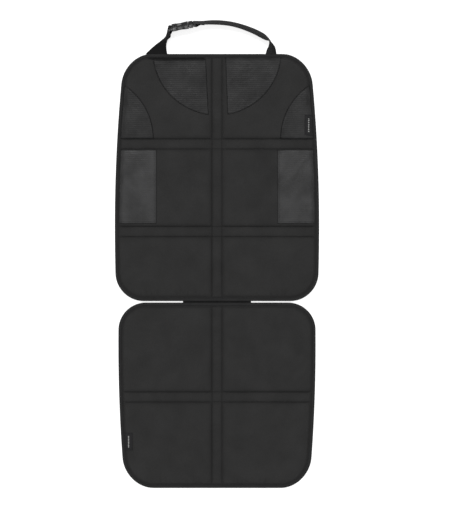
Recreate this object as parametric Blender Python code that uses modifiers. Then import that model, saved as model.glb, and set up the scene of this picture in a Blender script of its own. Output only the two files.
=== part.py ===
"""Car seat protector: a quilted back pad and seat pad, joined at the crease, with a headrest strap.

It lies flat on z = 0. +X is to the right, +Y runs from the seat pad to the strap, and +Z is up. The
origin is on the surface below the middle of the seat pad. All sizes are in metres.
"""

import math
from collections import namedtuple

import bmesh
import bpy
from mathutils import Matrix, Vector

MM = 0.001

# Clearance between pieces that touch
GAP = 0.3 * MM

# Seat pad. A share is a distance below the pad's top edge, as a part of the pad's length
SEAT_LENGTH = 435.5 * MM
SEAT_HALF_WIDTH = 231.7 * MM
SEAT_WIDEST_SHARE = 0.2296
SEAT_TAPER_TOP = 1.0 * MM
SEAT_TAPER_BOTTOM = 15.5 * MM
SEAT_TOP_RADIUS = 63.5 * MM
SEAT_BOTTOM_RADIUS = 72.0 * MM
SEAT_CHANNEL_SHARE = 0.5084

# Back pad
CREASE_WIDTH = 3.5 * MM
BACK_LENGTH = 580.5 * MM
BACK_HALF_WIDTH = 240.0 * MM
BACK_WIDEST_SHARE = 0.6925
BACK_TAPER_TOP = 22.3 * MM
BACK_TAPER_BOTTOM = 3.5 * MM
BACK_TOP_RADIUS = 70.5 * MM
BACK_BOTTOM_RADIUS = 65.0 * MM
BACK_LOWER_CHANNEL_SHARE = 0.7185
BACK_UPPER_CHANNEL_SHARE = 0.3643

# Quilting: flat channels between two seams, and pillows that rise beside them
CHANNEL_HALF_WIDTH = 11.6 * MM
PILLOW_RISE = 6.4 * MM
PILLOW_RUN = 10.0 * MM
PILLOW_STEPS = 4

# Cloth thicknesses, from the underside up
BACKING_THICKNESS = 1.0 * MM
FOAM_WEB = 1.0 * MM
FOAM_FLAT_EDGE = 0.5 * MM
COVER_THICKNESS = 1.0 * MM
MESH_THICKNESS = 1.0 * MM
LABEL_THICKNESS = 0.7 * MM

# Binding tape, folded round the edge
BINDING_WIDTH = 8.5 * MM
BINDING_THICKNESS = 1.0 * MM
BINDING_ROUND = 1.2 * MM
GROOVE_WIDTH = 1.5 * MM
BACKING_STEP_RUN = 1.0 * MM

# Outline resolution: steps round a corner, and up the side of each row of pillows
CORNER_STEPS = 6
ROW_STEPS = 3

# Open cloth zones on the back pad, from its top edge and centre line
YOKE_RADIUS = 151.5 * MM
YOKE_CENTRE_ABOVE_TOP = 7.0 * MM
YOKE_PLAIN_BAND = 11.0 * MM
SHOULDER_RADIUS = 150.0 * MM
SHOULDER_CENTRE_X = 298.5 * MM
PATCH_INNER_X = 142.5 * MM
PATCH_ABOVE_CHANNEL = 7.5 * MM
ARC_VERTICES = 72

# Woven labels, sewn into the side seams
LABEL_WIDTH = 17.0 * MM
BACK_LABEL_HEIGHT = 49.0 * MM
BACK_LABEL_SHARE = 0.2894
SEAT_LABEL_HEIGHT = 41.0 * MM
SEAT_LABEL_SHARE = 0.7479

# Cutters stand this tall above the surface
CUTTER_HEIGHT = 60.0 * MM

# Cloth strip across the crease
BRIDGE_WIDTH = 160.0 * MM
SEAM_DEPTH = 8.0 * MM
SEAM_EXIT = 1.5 * MM

# Headrest strap: webbing on the right, a tapered tab on the left. Its plan stretches with the back pad
STRAP_UNIT = BACK_HALF_WIDTH / 240
WEBBING_WIDTH = 25.0 * MM
WEBBING_THICKNESS = 1.0 * MM
STRAP_BASE_X = 127.0 * STRAP_UNIT
TAB_BASE_LEFT = -166.5 * STRAP_UNIT
TAB_BASE_RIGHT = -117.0 * STRAP_UNIT
SPAN_STEPS = 4
LOOP_STEPS = 6
TAIL_HOLD = 4.0 * MM
TAIL_TAPER = 12.0 * MM
TAIL_LENGTH = 25.0 * MM
STRAP_LOOP_START = math.radians(85)
TAB_LOOP_START = math.radians(160)

# Side-release buckle, closed and standing on its lower edge
BUCKLE_X = -111.4 * STRAP_UNIT
BUCKLE_ABOVE_TOP = 57.8 * STRAP_UNIT
BUCKLE_HEADING = math.radians(10.2)
BUCKLE_ROLL = math.radians(-65.0)
BUCKLE_HALF_WIDTH = 16.5 * MM
BUCKLE_WAIST = 1.5 * MM
BUCKLE_THICKNESS = 10.0 * MM
BUCKLE_ROUND = 1.2 * MM
FRAME_THICKNESS = 5.0 * MM
BAR_WIDTH = 3.2 * MM
BAR_SLOT = 5.3 * MM
BAR_SLOT_HALF_WIDTH = 13.2 * MM
SOCKET_LENGTH = 45.0 * MM
CAVITY_LENGTH = 33.0 * MM
CAVITY_HALF_WIDTH = 12.5 * MM
CAVITY_HEIGHT = 6.4 * MM
WINDOW_START = 17.0 * MM
WINDOW_LENGTH = 18.0 * MM
TONGUE_LENGTH = 15.7 * MM
TONGUE_THICKNESS = 9.0 * MM
GUIDE_LENGTH = 26.0 * MM
GUIDE_WIDTH = 5.0 * MM
PRONG_WIDTH = 3.0 * MM
PRONG_BULGE = 15.6 * MM
PRONG_CROWN = 1.2 * MM
PRONG_SLOPE = 5.0 * MM
PRONG_ROUND = 0.4 * MM
END_CORNER = 3.0 * MM
FRAME_NARROWING = 0.6 * MM
WAIST_RUN = 4.0 * MM
WINDOW_LAND = 1.0 * MM
MOULD_OVERLAP = 2.0 * MM

# Heights that follow from the cloth stack
FLANGE_BOTTOM = BINDING_THICKNESS + GAP
FOAM_BOTTOM = BACKING_THICKNESS + GAP
COVER_BOTTOM = max(FLANGE_BOTTOM + BACKING_THICKNESS, FOAM_BOTTOM + FOAM_WEB) + GAP
COVER_TOP = COVER_BOTTOM + COVER_THICKNESS
BINDING_TOP = COVER_TOP + GAP + BINDING_THICKNESS
SEAM_Z = (FLANGE_BOTTOM + COVER_TOP) / 2
WEB_CLEAR = BINDING_THICKNESS + GAP
FLANGE_INSET = max(WEB_CLEAR, BINDING_ROUND + (math.sqrt(2) - 1) * WEB_CLEAR)
PILLOW_INSET = BINDING_WIDTH + GROOVE_WIDTH
FOAM_OFFSET = COVER_THICKNESS + GAP

Pad = namedtuple(
    "Pad",
    "name top bottom half_width widest taper_top taper_bottom top_radius bottom_radius channels",
)

SEAT_TOP = SEAT_LENGTH / 2
BACK_BOTTOM = SEAT_TOP + CREASE_WIDTH
BACK_TOP = BACK_BOTTOM + BACK_LENGTH

SEAT = Pad(
    name="seat",
    top=SEAT_TOP,
    bottom=SEAT_TOP - SEAT_LENGTH,
    half_width=SEAT_HALF_WIDTH,
    widest=SEAT_TOP - SEAT_LENGTH * SEAT_WIDEST_SHARE,
    taper_top=SEAT_TAPER_TOP,
    taper_bottom=SEAT_TAPER_BOTTOM,
    top_radius=SEAT_TOP_RADIUS,
    bottom_radius=SEAT_BOTTOM_RADIUS,
    channels=(SEAT_TOP - SEAT_LENGTH * SEAT_CHANNEL_SHARE,),
)
BACK = Pad(
    name="back",
    top=BACK_TOP,
    bottom=BACK_BOTTOM,
    half_width=BACK_HALF_WIDTH,
    widest=BACK_TOP - BACK_LENGTH * BACK_WIDEST_SHARE,
    taper_top=BACK_TAPER_TOP,
    taper_bottom=BACK_TAPER_BOTTOM,
    top_radius=BACK_TOP_RADIUS,
    bottom_radius=BACK_BOTTOM_RADIUS,
    channels=(
        BACK_TOP - BACK_LENGTH * BACK_LOWER_CHANNEL_SHARE,
        BACK_TOP - BACK_LENGTH * BACK_UPPER_CHANNEL_SHARE,
    ),
)

# Colour (linear), roughness and metallic value of each material
MATERIALS = {
    "plain_cloth": ((0.032, 0.032, 0.033), 0.85, 0.0),
    "open_cloth": ((0.052, 0.052, 0.053), 0.6, 0.0),
    "binding_tape": ((0.028, 0.028, 0.029), 0.8, 0.0),
    "foam": ((0.45, 0.45, 0.43), 0.95, 0.0),
    "coated_cloth": ((0.02, 0.02, 0.021), 0.7, 0.0),
    "webbing": ((0.05, 0.05, 0.052), 0.7, 0.0),
    "buckle_plastic": ((0.035, 0.035, 0.036), 0.35, 0.0),
    "woven_label": ((0.012, 0.012, 0.013), 0.8, 0.0),
}


def clear_scene():
    for thing in list(bpy.data.objects):
        bpy.data.objects.remove(thing)


def new_collection(name):
    collection = bpy.data.collections.new(name)
    bpy.context.scene.collection.children.link(collection)
    return collection


def make_material(name):
    colour, roughness, metallic = MATERIALS[name]
    material = bpy.data.materials.new(name)
    material.use_nodes = True
    shader = material.node_tree.nodes["Principled BSDF"]
    shader.inputs["Base Color"].default_value = (*colour, 1.0)
    shader.inputs["Roughness"].default_value = roughness
    shader.inputs["Metallic"].default_value = metallic
    return material


def add_object(name, data, material=None):
    """Adds a sub-part of the protector, or without a material a shape for the cutters."""
    thing = bpy.data.objects.new(name, data)
    if material:
        parts.objects.link(thing)
        data.materials.append(materials[material])
    else:
        cutters.objects.link(thing)
        thing.hide_render = True
        thing.display_type = "WIRE"
    return thing


def mesh_from(name, bm):
    mesh = bpy.data.meshes.new(name)
    bm.to_mesh(mesh)
    bm.free()
    return mesh


def box(name, low, high, material=None, matrix=Matrix.Identity(4)):
    """A box between two corners, in the frame of the matrix."""
    low, high = Vector(low), Vector(high)
    bm = bmesh.new()
    bmesh.ops.create_cube(bm, size=1.0)
    bmesh.ops.scale(bm, vec=high - low, verts=bm.verts)
    bmesh.ops.translate(bm, vec=(low + high) / 2, verts=bm.verts)
    thing = add_object(name, mesh_from(name, bm), material)
    thing.matrix_world = matrix
    return thing


def drum(name, centre, radius):
    """An upright cylinder through the whole pad, for an arc in the plan."""
    bm = bmesh.new()
    bmesh.ops.create_cone(
        bm, cap_ends=True, segments=ARC_VERTICES, radius1=radius, radius2=radius, depth=2 * CUTTER_HEIGHT
    )
    bmesh.ops.translate(bm, vec=centre, verts=bm.verts)
    return add_object(name, mesh_from(name, bm))


def boolean(thing, other, operation):
    modifier = thing.modifiers.new(other.name, "BOOLEAN")
    modifier.object = other
    modifier.operation = operation


def solidify(thing, thickness, offset):
    modifier = thing.modifiers.new("thickness", "SOLIDIFY")
    modifier.thickness = thickness
    modifier.offset = offset
    modifier.use_even_offset = True


def half_width_at(pad, y):
    """The pad is widest part way down and narrows along a parabola both ways."""
    if y > pad.widest:
        loss = pad.taper_top * ((y - pad.widest) / (pad.top - pad.widest)) ** 2
    else:
        loss = pad.taper_bottom * ((pad.widest - y) / (pad.widest - pad.bottom)) ** 2
    return pad.half_width - loss


def side_heights(pad):
    """Heights up the straight side: evenly along each row of pillows, and once in each channel."""
    heights = []
    low = pad.bottom + pad.bottom_radius
    for channel in (*pad.channels, None):
        high = pad.top - pad.top_radius if channel is None else channel - CHANNEL_HALF_WIDTH
        heights += [low + (high - low) * step / ROW_STEPS for step in range(1, ROW_STEPS)]
        if channel is not None:
            heights.append(channel)
            low = channel + CHANNEL_HALF_WIDTH
    return heights


def right_half(pad):
    """The right half of a rounded rectangle, from the bottom edge up to the top edge."""
    points = []
    for step in range(CORNER_STEPS + 1):
        angle = math.radians(-90) + math.radians(90) * step / CORNER_STEPS
        x = pad.half_width - pad.bottom_radius * (1 - math.cos(angle))
        points.append((x, pad.bottom + pad.bottom_radius * (1 + math.sin(angle))))
    points += [(pad.half_width, height) for height in side_heights(pad)]
    for step in range(CORNER_STEPS + 1):
        angle = math.radians(90) * step / CORNER_STEPS
        x = pad.half_width - pad.top_radius * (1 - math.cos(angle))
        points.append((x, pad.top - pad.top_radius * (1 - math.sin(angle))))
    return points


def moved_inward(points, distance):
    """Moves a counter-clockwise outline inward, parallel to its edges."""
    moved = []
    for index, here in enumerate(points):
        ahead = (points[(index + 1) % len(points)] - here).normalized()
        behind = (here - points[index - 1]).normalized()
        first = Vector((-behind.y, behind.x))
        second = Vector((-ahead.y, ahead.x))
        bisector = (first + second).normalized()
        moved.append(here + bisector * (distance / bisector.dot(first)))
    return moved


def outline(pad, inset=0.0):
    """The pad's outline, counter-clockwise, this far inside its outer edge."""
    right = [Vector((x * half_width_at(pad, y) / pad.half_width, y)) for x, y in right_half(pad)]
    left = [Vector((-point.x, point.y)) for point in reversed(right)]
    return moved_inward(right + left, inset)


def flat_face(bm, points, z, downward=False):
    corners = [bm.verts.new((point.x, point.y, z)) for point in points]
    if downward:
        corners.reverse()
    face = bm.faces.new(corners)
    face.normal_update()
    return face


def inset(bm, faces, inward, upward=0.0):
    """Insets each face and lifts it along its normal. Returns the new faces round it."""
    result = bmesh.ops.inset_individual(bm, faces=faces, thickness=inward, depth=upward, use_even_offset=True)
    return result["faces"]


def split_at_channels(bm, face, pad, margin=0.0):
    """Splits a face along both sides of each quilting channel, and returns the faces between them."""
    half = CHANNEL_HALF_WIDTH + margin
    lines = [((side * half, 0, 0), (1, 0, 0)) for side in (-1, 1)]
    lines += [((0, y + side * half, 0), (0, 1, 0)) for y in pad.channels for side in (-1, 1)]
    pieces = [face]
    for point, normal in lines:
        geometry = pieces + list({edge for piece in pieces for edge in piece.edges})
        geometry += list({vert for piece in pieces for vert in piece.verts})
        result = bmesh.ops.bisect_plane(bm, geom=geometry, plane_co=point, plane_no=normal, dist=1e-7)
        pieces = [item for item in result["geom"] if isinstance(item, bmesh.types.BMFace)]

    def is_cell(piece):
        centre = piece.calc_center_bounds()
        return abs(centre.x) > half and all(abs(centre.y - y) > half for y in pad.channels)

    return [piece for piece in pieces if is_cell(piece)]


def pillow_ring(offset, angle):
    """Inset and height at an angle up a pillow's quarter ellipse, this far below its surface."""
    outward = Vector((math.cos(angle) / PILLOW_RUN, math.sin(angle) / PILLOW_RISE)).normalized()
    inward = PILLOW_RUN * (1 - math.cos(angle)) + offset * outward.x
    height = PILLOW_RISE * math.sin(angle) - offset * outward.y
    return inward, height


def raise_pillows(bm, cells, offset=0.0, start_inset=0.0, start_height=0.0, start_angle=0.0):
    """Lifts each cell into a pillow, ring by ring."""
    last_inset, last_height = start_inset, start_height
    for step in range(PILLOW_STEPS + 1):
        angle = start_angle + (math.radians(90) - start_angle) * step / PILLOW_STEPS
        inward, height = pillow_ring(offset, angle)
        if inward - last_inset > 1e-6 or height - last_height > 1e-6:
            inset(bm, cells, max(inward - last_inset, 0.0), height - last_height)
        last_inset, last_height = inward, height


def quilted_sheet(bm, pad, rim_inset, below=0.0):
    """A quilted surface, this far below the cover's outer one. Returns its rim, counter-clockwise."""
    face = flat_face(bm, outline(pad, rim_inset), COVER_TOP - below)
    rim = list(face.verts)
    inset(bm, [face], PILLOW_INSET + below - rim_inset)
    cells = split_at_channels(bm, face, pad, margin=below)
    raise_pillows(bm, cells, below, below, -below)
    return rim


def join_rims(bm, low, high):
    """A wall between two rims with the same number of points, both counter-clockwise."""
    for index in range(len(low)):
        bm.faces.new((low[index - 1], low[index], high[index], high[index - 1]))


def make_cover(pad):
    """The quilted top cloth: a flat flange and channels, with a hollow pillow in each cell."""
    bm = bmesh.new()
    top = quilted_sheet(bm, pad, FLANGE_INSET)
    bottom = quilted_sheet(bm, pad, FLANGE_INSET, COVER_THICKNESS)
    join_rims(bm, bottom, top)
    bmesh.ops.recalc_face_normals(bm, faces=bm.faces)
    name = f"{pad.name}_cover"
    return add_object(name, mesh_from(name, bm), "plain_cloth")


def make_foam(pad):
    """One foam sheet, pressed thin under the channels and full in the pillows."""
    bm = bmesh.new()
    rim_inset = PILLOW_INSET + FOAM_OFFSET - FOAM_FLAT_EDGE
    top = quilted_sheet(bm, pad, rim_inset, FOAM_OFFSET)
    bottom = list(flat_face(bm, outline(pad, rim_inset), FOAM_BOTTOM).verts)
    join_rims(bm, bottom, top)
    bmesh.ops.recalc_face_normals(bm, faces=bm.faces)
    name = f"{pad.name}_foam"
    return add_object(name, mesh_from(name, bm), "foam")


def make_backing(pad):
    """The underside cloth, flat on the surface, with its border stepped up into the binding."""
    bm = bmesh.new()
    face = flat_face(bm, outline(pad, FLANGE_INSET), FLANGE_BOTTOM, downward=True)
    inset(bm, [face], BINDING_WIDTH + GAP - FLANGE_INSET)
    inset(bm, [face], BACKING_STEP_RUN, FLANGE_BOTTOM)
    name = f"{pad.name}_backing"
    backing = add_object(name, mesh_from(name, bm), "coated_cloth")
    solidify(backing, BACKING_THICKNESS, -1.0)
    return backing


def make_binding(pad):
    """Tape folded round the edge: a lip above, a lip below and a rounded fold outside."""
    section = [
        (BINDING_WIDTH, 0.0),
        (BINDING_ROUND, 0.0),
        (0.0, BINDING_ROUND),
        (0.0, BINDING_TOP - BINDING_ROUND),
        (BINDING_ROUND, BINDING_TOP),
        (BINDING_WIDTH, BINDING_TOP),
    ]
    bm = bmesh.new()
    rings = [[bm.verts.new((point.x, point.y, z)) for point in outline(pad, inward)] for inward, z in section]
    for low, high in zip(rings, rings[1:]):
        join_rims(bm, low, high)
    name = f"{pad.name}_binding"
    binding = add_object(name, mesh_from(name, bm), "binding_tape")
    solidify(binding, BINDING_THICKNESS, -1.0)
    return binding


def first_angle(offset):
    """Where a surface this far above the pillow comes back inside the seam."""
    degrees = 0
    while pillow_ring(-offset, math.radians(degrees))[0] < GAP:
        degrees += 1
    return math.radians(degrees)


def make_skin(name, pad, side, row, region, above, thickness, material):
    """Cloth that follows one pillow, this far above its surface, inside the region's cutter."""
    bm = bmesh.new()
    face = flat_face(bm, outline(pad, PILLOW_INSET), COVER_TOP)
    cells = [cell for cell in split_at_channels(bm, face, pad) if cell.calc_center_bounds().x * side > 0]
    cells.sort(key=lambda cell: cell.calc_center_bounds().y)
    cell = cells[row]
    bmesh.ops.delete(bm, geom=[other for other in bm.faces if other is not cell], context="FACES")
    start = first_angle(above)
    inward, height = pillow_ring(-above, start)
    rim = inset(bm, [cell], inward, height)
    bmesh.ops.delete(bm, geom=rim, context="FACES")
    raise_pillows(bm, [cell], -above, inward, height, start)
    skin = add_object(name, mesh_from(name, bm), material)
    solidify(skin, thickness, 1.0)
    boolean(skin, region, "INTERSECT")
    return skin


def make_open_cloth():
    """Six zones of open cloth on the back pad, with the same shapes on the left and the right."""
    yoke = drum("yoke_zone", (0, BACK_TOP + YOKE_CENTRE_ABOVE_TOP, 0), YOKE_RADIUS)
    plain = CHANNEL_HALF_WIDTH + YOKE_PLAIN_BAND
    band = box(
        "yoke_plain_band",
        (-plain, BACK_TOP - 2 * YOKE_RADIUS, -2 * CUTTER_HEIGHT),
        (plain, BACK_TOP + 2 * YOKE_RADIUS, 2 * CUTTER_HEIGHT),
    )
    boolean(yoke, band, "DIFFERENCE")
    upper_channel, lower_channel = BACK.channels[1], BACK.channels[0]
    patch_bottom = lower_channel + CHANNEL_HALF_WIDTH + PATCH_ABOVE_CHANNEL
    for side, word in ((-1, "left"), (1, "right")):
        make_skin(f"yoke_mesh_{word}", BACK, side, 2, yoke, GAP, MESH_THICKNESS, "open_cloth")
        centre = (side * SHOULDER_CENTRE_X, upper_channel + CHANNEL_HALF_WIDTH, 0)
        shoulder = drum(f"shoulder_zone_{word}", centre, SHOULDER_RADIUS)
        make_skin(f"shoulder_mesh_{word}", BACK, side, 2, shoulder, GAP, MESH_THICKNESS, "open_cloth")
        ends = sorted((side * PATCH_INNER_X, side * BACK.half_width))
        patch = box(f"patch_zone_{word}", (ends[0], patch_bottom, 0), (ends[1], upper_channel, CUTTER_HEIGHT))
        make_skin(f"side_patch_{word}", BACK, side, 1, patch, GAP, MESH_THICKNESS, "open_cloth")


def make_label(pad, side, row, share, height, above):
    """A woven label whose outer edge is caught in the side seam, this share of the length below the top."""
    y = pad.top - (pad.top - pad.bottom) * share
    outer = half_width_at(pad, y) - PILLOW_INSET
    ends = sorted((side * (outer - LABEL_WIDTH), side * (outer + GROOVE_WIDTH)))
    low, high = (ends[0], y - height / 2, 0), (ends[1], y + height / 2, CUTTER_HEIGHT)
    zone = box(f"{pad.name}_label_zone", low, high)
    make_skin(f"label_{pad.name}", pad, side, row, zone, above, LABEL_THICKNESS, "woven_label")


def seam_slot(name, centre_x, width, edge_y, into_pad):
    """A cutter for the slot that a strap's end fills between a pad's two flanges."""
    half_height = WEBBING_THICKNESS / 2 + GAP
    low_y, high_y = sorted((edge_y - into_pad * 2 * BINDING_WIDTH, edge_y + into_pad * (SEAM_DEPTH + GAP)))
    return box(
        name,
        (centre_x - width / 2 - GAP, low_y, SEAM_Z - half_height),
        (centre_x + width / 2 + GAP, high_y, SEAM_Z + half_height),
    )


def make_pad(pad, slots):
    cover = make_cover(pad)
    make_foam(pad)
    backing = make_backing(pad)
    binding = make_binding(pad)
    for layer in (cover, backing, binding):
        for slot in slots:
            boolean(layer, slot, "DIFFERENCE")


def make_bridge():
    """The strip across the crease, with an end in each pad's seam."""
    half = BRIDGE_WIDTH / 2
    low = (-half, SEAT_TOP - SEAM_DEPTH, SEAM_Z - WEBBING_THICKNESS / 2)
    high = (half, BACK_BOTTOM + SEAM_DEPTH, SEAM_Z + WEBBING_THICKNESS / 2)
    box("bridge_strip", low, high, "plain_cloth")


def buckle_matrix():
    """The buckle's frame: +X from one webbing bar to the other, +Z out of the face seen from above."""
    height = BUCKLE_HALF_WIDTH * math.sin(-BUCKLE_ROLL) + BUCKLE_THICKNESS / 2 * math.cos(BUCKLE_ROLL)
    place = Matrix.Translation((BUCKLE_X, BACK_TOP + BUCKLE_ABOVE_TOP, height))
    return place @ Matrix.Rotation(BUCKLE_HEADING, 4, "Z") @ Matrix.Rotation(BUCKLE_ROLL, 4, "X")


def smooth_route(stations):
    """Reads a smooth curve through the stations, each a pair of edge points held as one six-vector."""
    route = []
    last = len(stations) - 1
    for index in range(last):
        before = stations[max(index - 1, 0)]
        here, there = stations[index], stations[index + 1]
        after = stations[min(index + 2, last)]
        for step in range(SPAN_STEPS):
            t = step / SPAN_STEPS
            bend = 2 * before - 5 * here + 4 * there - after
            twist = 3 * (here - there) + after - before
            route.append(here + (there - before) * (t / 2) + bend * (t * t / 2) + twist * (t ** 3 / 2))
    return route + [stations[last]]


def bar_loop(frame, bar_x, start, end, radius):
    """Stations round a bar of the buckle, between two angles in its length and thickness."""
    across = frame.col[1].to_3d() * (WEBBING_WIDTH / 2)
    stations = []
    for step in range(LOOP_STEPS + 1):
        angle = start + (end - start) * step / LOOP_STEPS
        centre = frame @ Vector((bar_x + radius * math.cos(angle), 0, radius * math.sin(angle)))
        stations.append(Vector((*(centre + across), *(centre - across))))
    return stations


def middle(station):
    return (Vector(station[:3]) + Vector(station[3:])) / 2


def folded_tail(route, spacing, closed_spacing, length, towards):
    """A strap's end, folded back along its own route: apart by the bar at first, then laid against it."""
    tail = []
    travelled = 0.0
    back = list(reversed(route))
    for index in range(1, len(back)):
        heading = middle(back[index]) - middle(back[index - 1])
        travelled += heading.length
        if travelled > length:
            break
        across = Vector(back[index][3:]) - Vector(back[index][:3])
        normal = heading.cross(across).normalized()
        if normal.dot(towards) < 0:
            normal.negate()
        share = min(max((travelled - TAIL_HOLD) / TAIL_TAPER, 0.0), 1.0)
        share = share * share * (3 - 2 * share)
        shift = normal * (spacing + (closed_spacing - spacing) * share)
        tail.append(back[index] + Vector((*shift, *shift)))
    return tail


def make_webbing(name, stations, material):
    """A flat strap between its two edges, in the middle of its thickness."""
    bm = bmesh.new()
    rungs = [(bm.verts.new(station[:3]), bm.verts.new(station[3:])) for station in stations]
    for (left, right), (next_left, next_right) in zip(rungs, rungs[1:]):
        bm.faces.new((left, right, next_right, next_left))
    strap = add_object(name, mesh_from(name, bm), material)
    solidify(strap, WEBBING_THICKNESS, 0.0)
    return strap


def loop_radius():
    half_bar = Vector((BAR_WIDTH / 2, FRAME_THICKNESS / 2)).length
    return half_bar + GAP + WEBBING_THICKNESS / 2


def make_long_strap(frame):
    """Webbing that leaves the seam flat, turns past its edge and runs to the tongue's bar."""
    # Centre line from the pad's top edge (x, y above it) in strap units, height of the lower edge in
    # webbing thicknesses, and roll in degrees
    bends = [
        (127.0, 11.1, 1.6, 38),
        (126.4, 16.5, 1.2, 57),
        (124.9, 21.8, 1.0, 74),
        (122.4, 27.0, 0.8, 91),
        (117.4, 32.8, 0.8, 112),
        (108.6, 40.2, 0.8, 124),
        (95.0, 48.0, 0.8, 125),
        (77.6, 55.8, 0.8, 123),
        (54.1, 64.1, 0.8, 121),
        (30.6, 69.7, 0.8, 120),
        (7.1, 72.3, 1.2, 120),
        (-14.0, 72.5, 2.6, 119),
        (-34.0, 71.3, 4.6, 117),
    ]
    route = [(STRAP_BASE_X, -SEAM_DEPTH, SEAM_Z, 0), (STRAP_BASE_X, SEAM_EXIT, SEAM_Z, 0)]
    for x, y, low, roll in bends:
        route.append((x * STRAP_UNIT, y * STRAP_UNIT, low * WEBBING_THICKNESS, roll))
    stations = []
    for index, (x, y, low, roll) in enumerate(route):
        before, after = route[max(index - 1, 0)], route[min(index + 1, len(route) - 1)]
        heading = Vector((after[0] - before[0], after[1] - before[1], 0)).normalized()
        roll = math.radians(roll)
        lean = Vector((heading.y, -heading.x, 0)) * math.cos(roll)
        across = (lean + Vector((0, 0, math.sin(roll)))) * (WEBBING_WIDTH / 2)
        centre = Vector((x, BACK_TOP + y, low + across.z))
        stations.append(Vector((*(centre - across), *(centre + across))))
    bar_x = SOCKET_LENGTH + GAP + TONGUE_LENGTH - BAR_WIDTH / 2
    radius = loop_radius()
    loop = bar_loop(frame, bar_x, STRAP_LOOP_START, STRAP_LOOP_START + math.pi, radius)
    main = stations[:1] + smooth_route(stations[1:] + loop[:1])
    hidden_side = -frame.col[2].to_3d()
    closed = WEBBING_THICKNESS + GAP
    tail = folded_tail(main, 2 * radius, closed, TAIL_LENGTH, hidden_side)
    make_webbing("strap_long", main + loop[1:] + tail, "webbing")


def make_tab(frame):
    """A tapered cloth tab that leaves the seam flat and turns on its edge towards the socket's bar."""
    # Left and right edge from the pad's top edge: x, y above it in strap units, and height in
    # webbing thicknesses
    bends = [
        ((-156.4, 11.3, 1.8), (-118.4, 10.6, 7.5)),
        ((-144.0, 22.1, 1.4), (-118.4, 20.6, 14.5)),
        ((-131.8, 31.3, 1.8), (-115.6, 29.4, 21.0)),
        ((-120.4, 42.1, 3.4), (-108.9, 38.6, 25.8)),
    ]
    edges = [
        ((TAB_BASE_LEFT, -SEAM_DEPTH, SEAM_Z), (TAB_BASE_RIGHT, -SEAM_DEPTH, SEAM_Z)),
        ((TAB_BASE_LEFT, SEAM_EXIT, SEAM_Z), (TAB_BASE_RIGHT, SEAM_EXIT, SEAM_Z)),
    ]
    unit = Vector((STRAP_UNIT, STRAP_UNIT, WEBBING_THICKNESS))
    edges += [(Vector(left) * unit, Vector(right) * unit) for left, right in bends]
    lift = Vector((0, BACK_TOP, 0))
    stations = [Vector((*(Vector(left) + lift), *(Vector(right) + lift))) for left, right in edges]
    radius = loop_radius()
    loop = bar_loop(frame, BAR_WIDTH / 2, TAB_LOOP_START, TAB_LOOP_START - math.pi, radius)
    main = stations[:1] + smooth_route(stations[1:] + loop[:1])
    towards_slot = frame.col[0].to_3d()
    closed = WEBBING_THICKNESS + GAP
    tail = folded_tail(main, 2 * radius, closed, TAIL_LENGTH, towards_slot)
    make_webbing("strap_tab", main + loop[1:] + tail, "plain_cloth")


def plate(name, points, thickness, round_edge, matrix, material=None):
    """A moulded plate with a rounded edge, from its outline in X and Y."""
    curve = bpy.data.curves.new(name, "CURVE")
    curve.dimensions = "2D"
    curve.fill_mode = "BOTH"
    curve.extrude = thickness / 2 - round_edge
    curve.bevel_depth = round_edge
    curve.bevel_resolution = 1
    curve.offset = -round_edge
    spline = curve.splines.new("POLY")
    spline.points.add(len(points) - 1)
    spline.use_cyclic_u = True
    for point, (x, y) in zip(spline.points, points):
        point.co = (x, y, 0, 1)
    solid = bpy.data.objects.new(name, curve)
    bpy.context.scene.collection.objects.link(solid)
    mesh = bpy.data.meshes.new_from_object(solid.evaluated_get(bpy.context.evaluated_depsgraph_get()))
    bpy.data.objects.remove(solid)
    bm = bmesh.new()
    bm.from_mesh(mesh)
    bmesh.ops.remove_doubles(bm, verts=bm.verts, dist=1e-6)
    bmesh.ops.recalc_face_normals(bm, faces=bm.faces)
    bm.to_mesh(mesh)
    bm.free()
    thing = add_object(name, mesh, material)
    thing.matrix_world = matrix
    return thing


def mirrored_outline(points):
    """Closes an outline given along its +Y side by its mirror image along the -Y side."""
    return [(x, -y) for x, y in points] + [(x, y) for x, y in reversed(points)]


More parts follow.
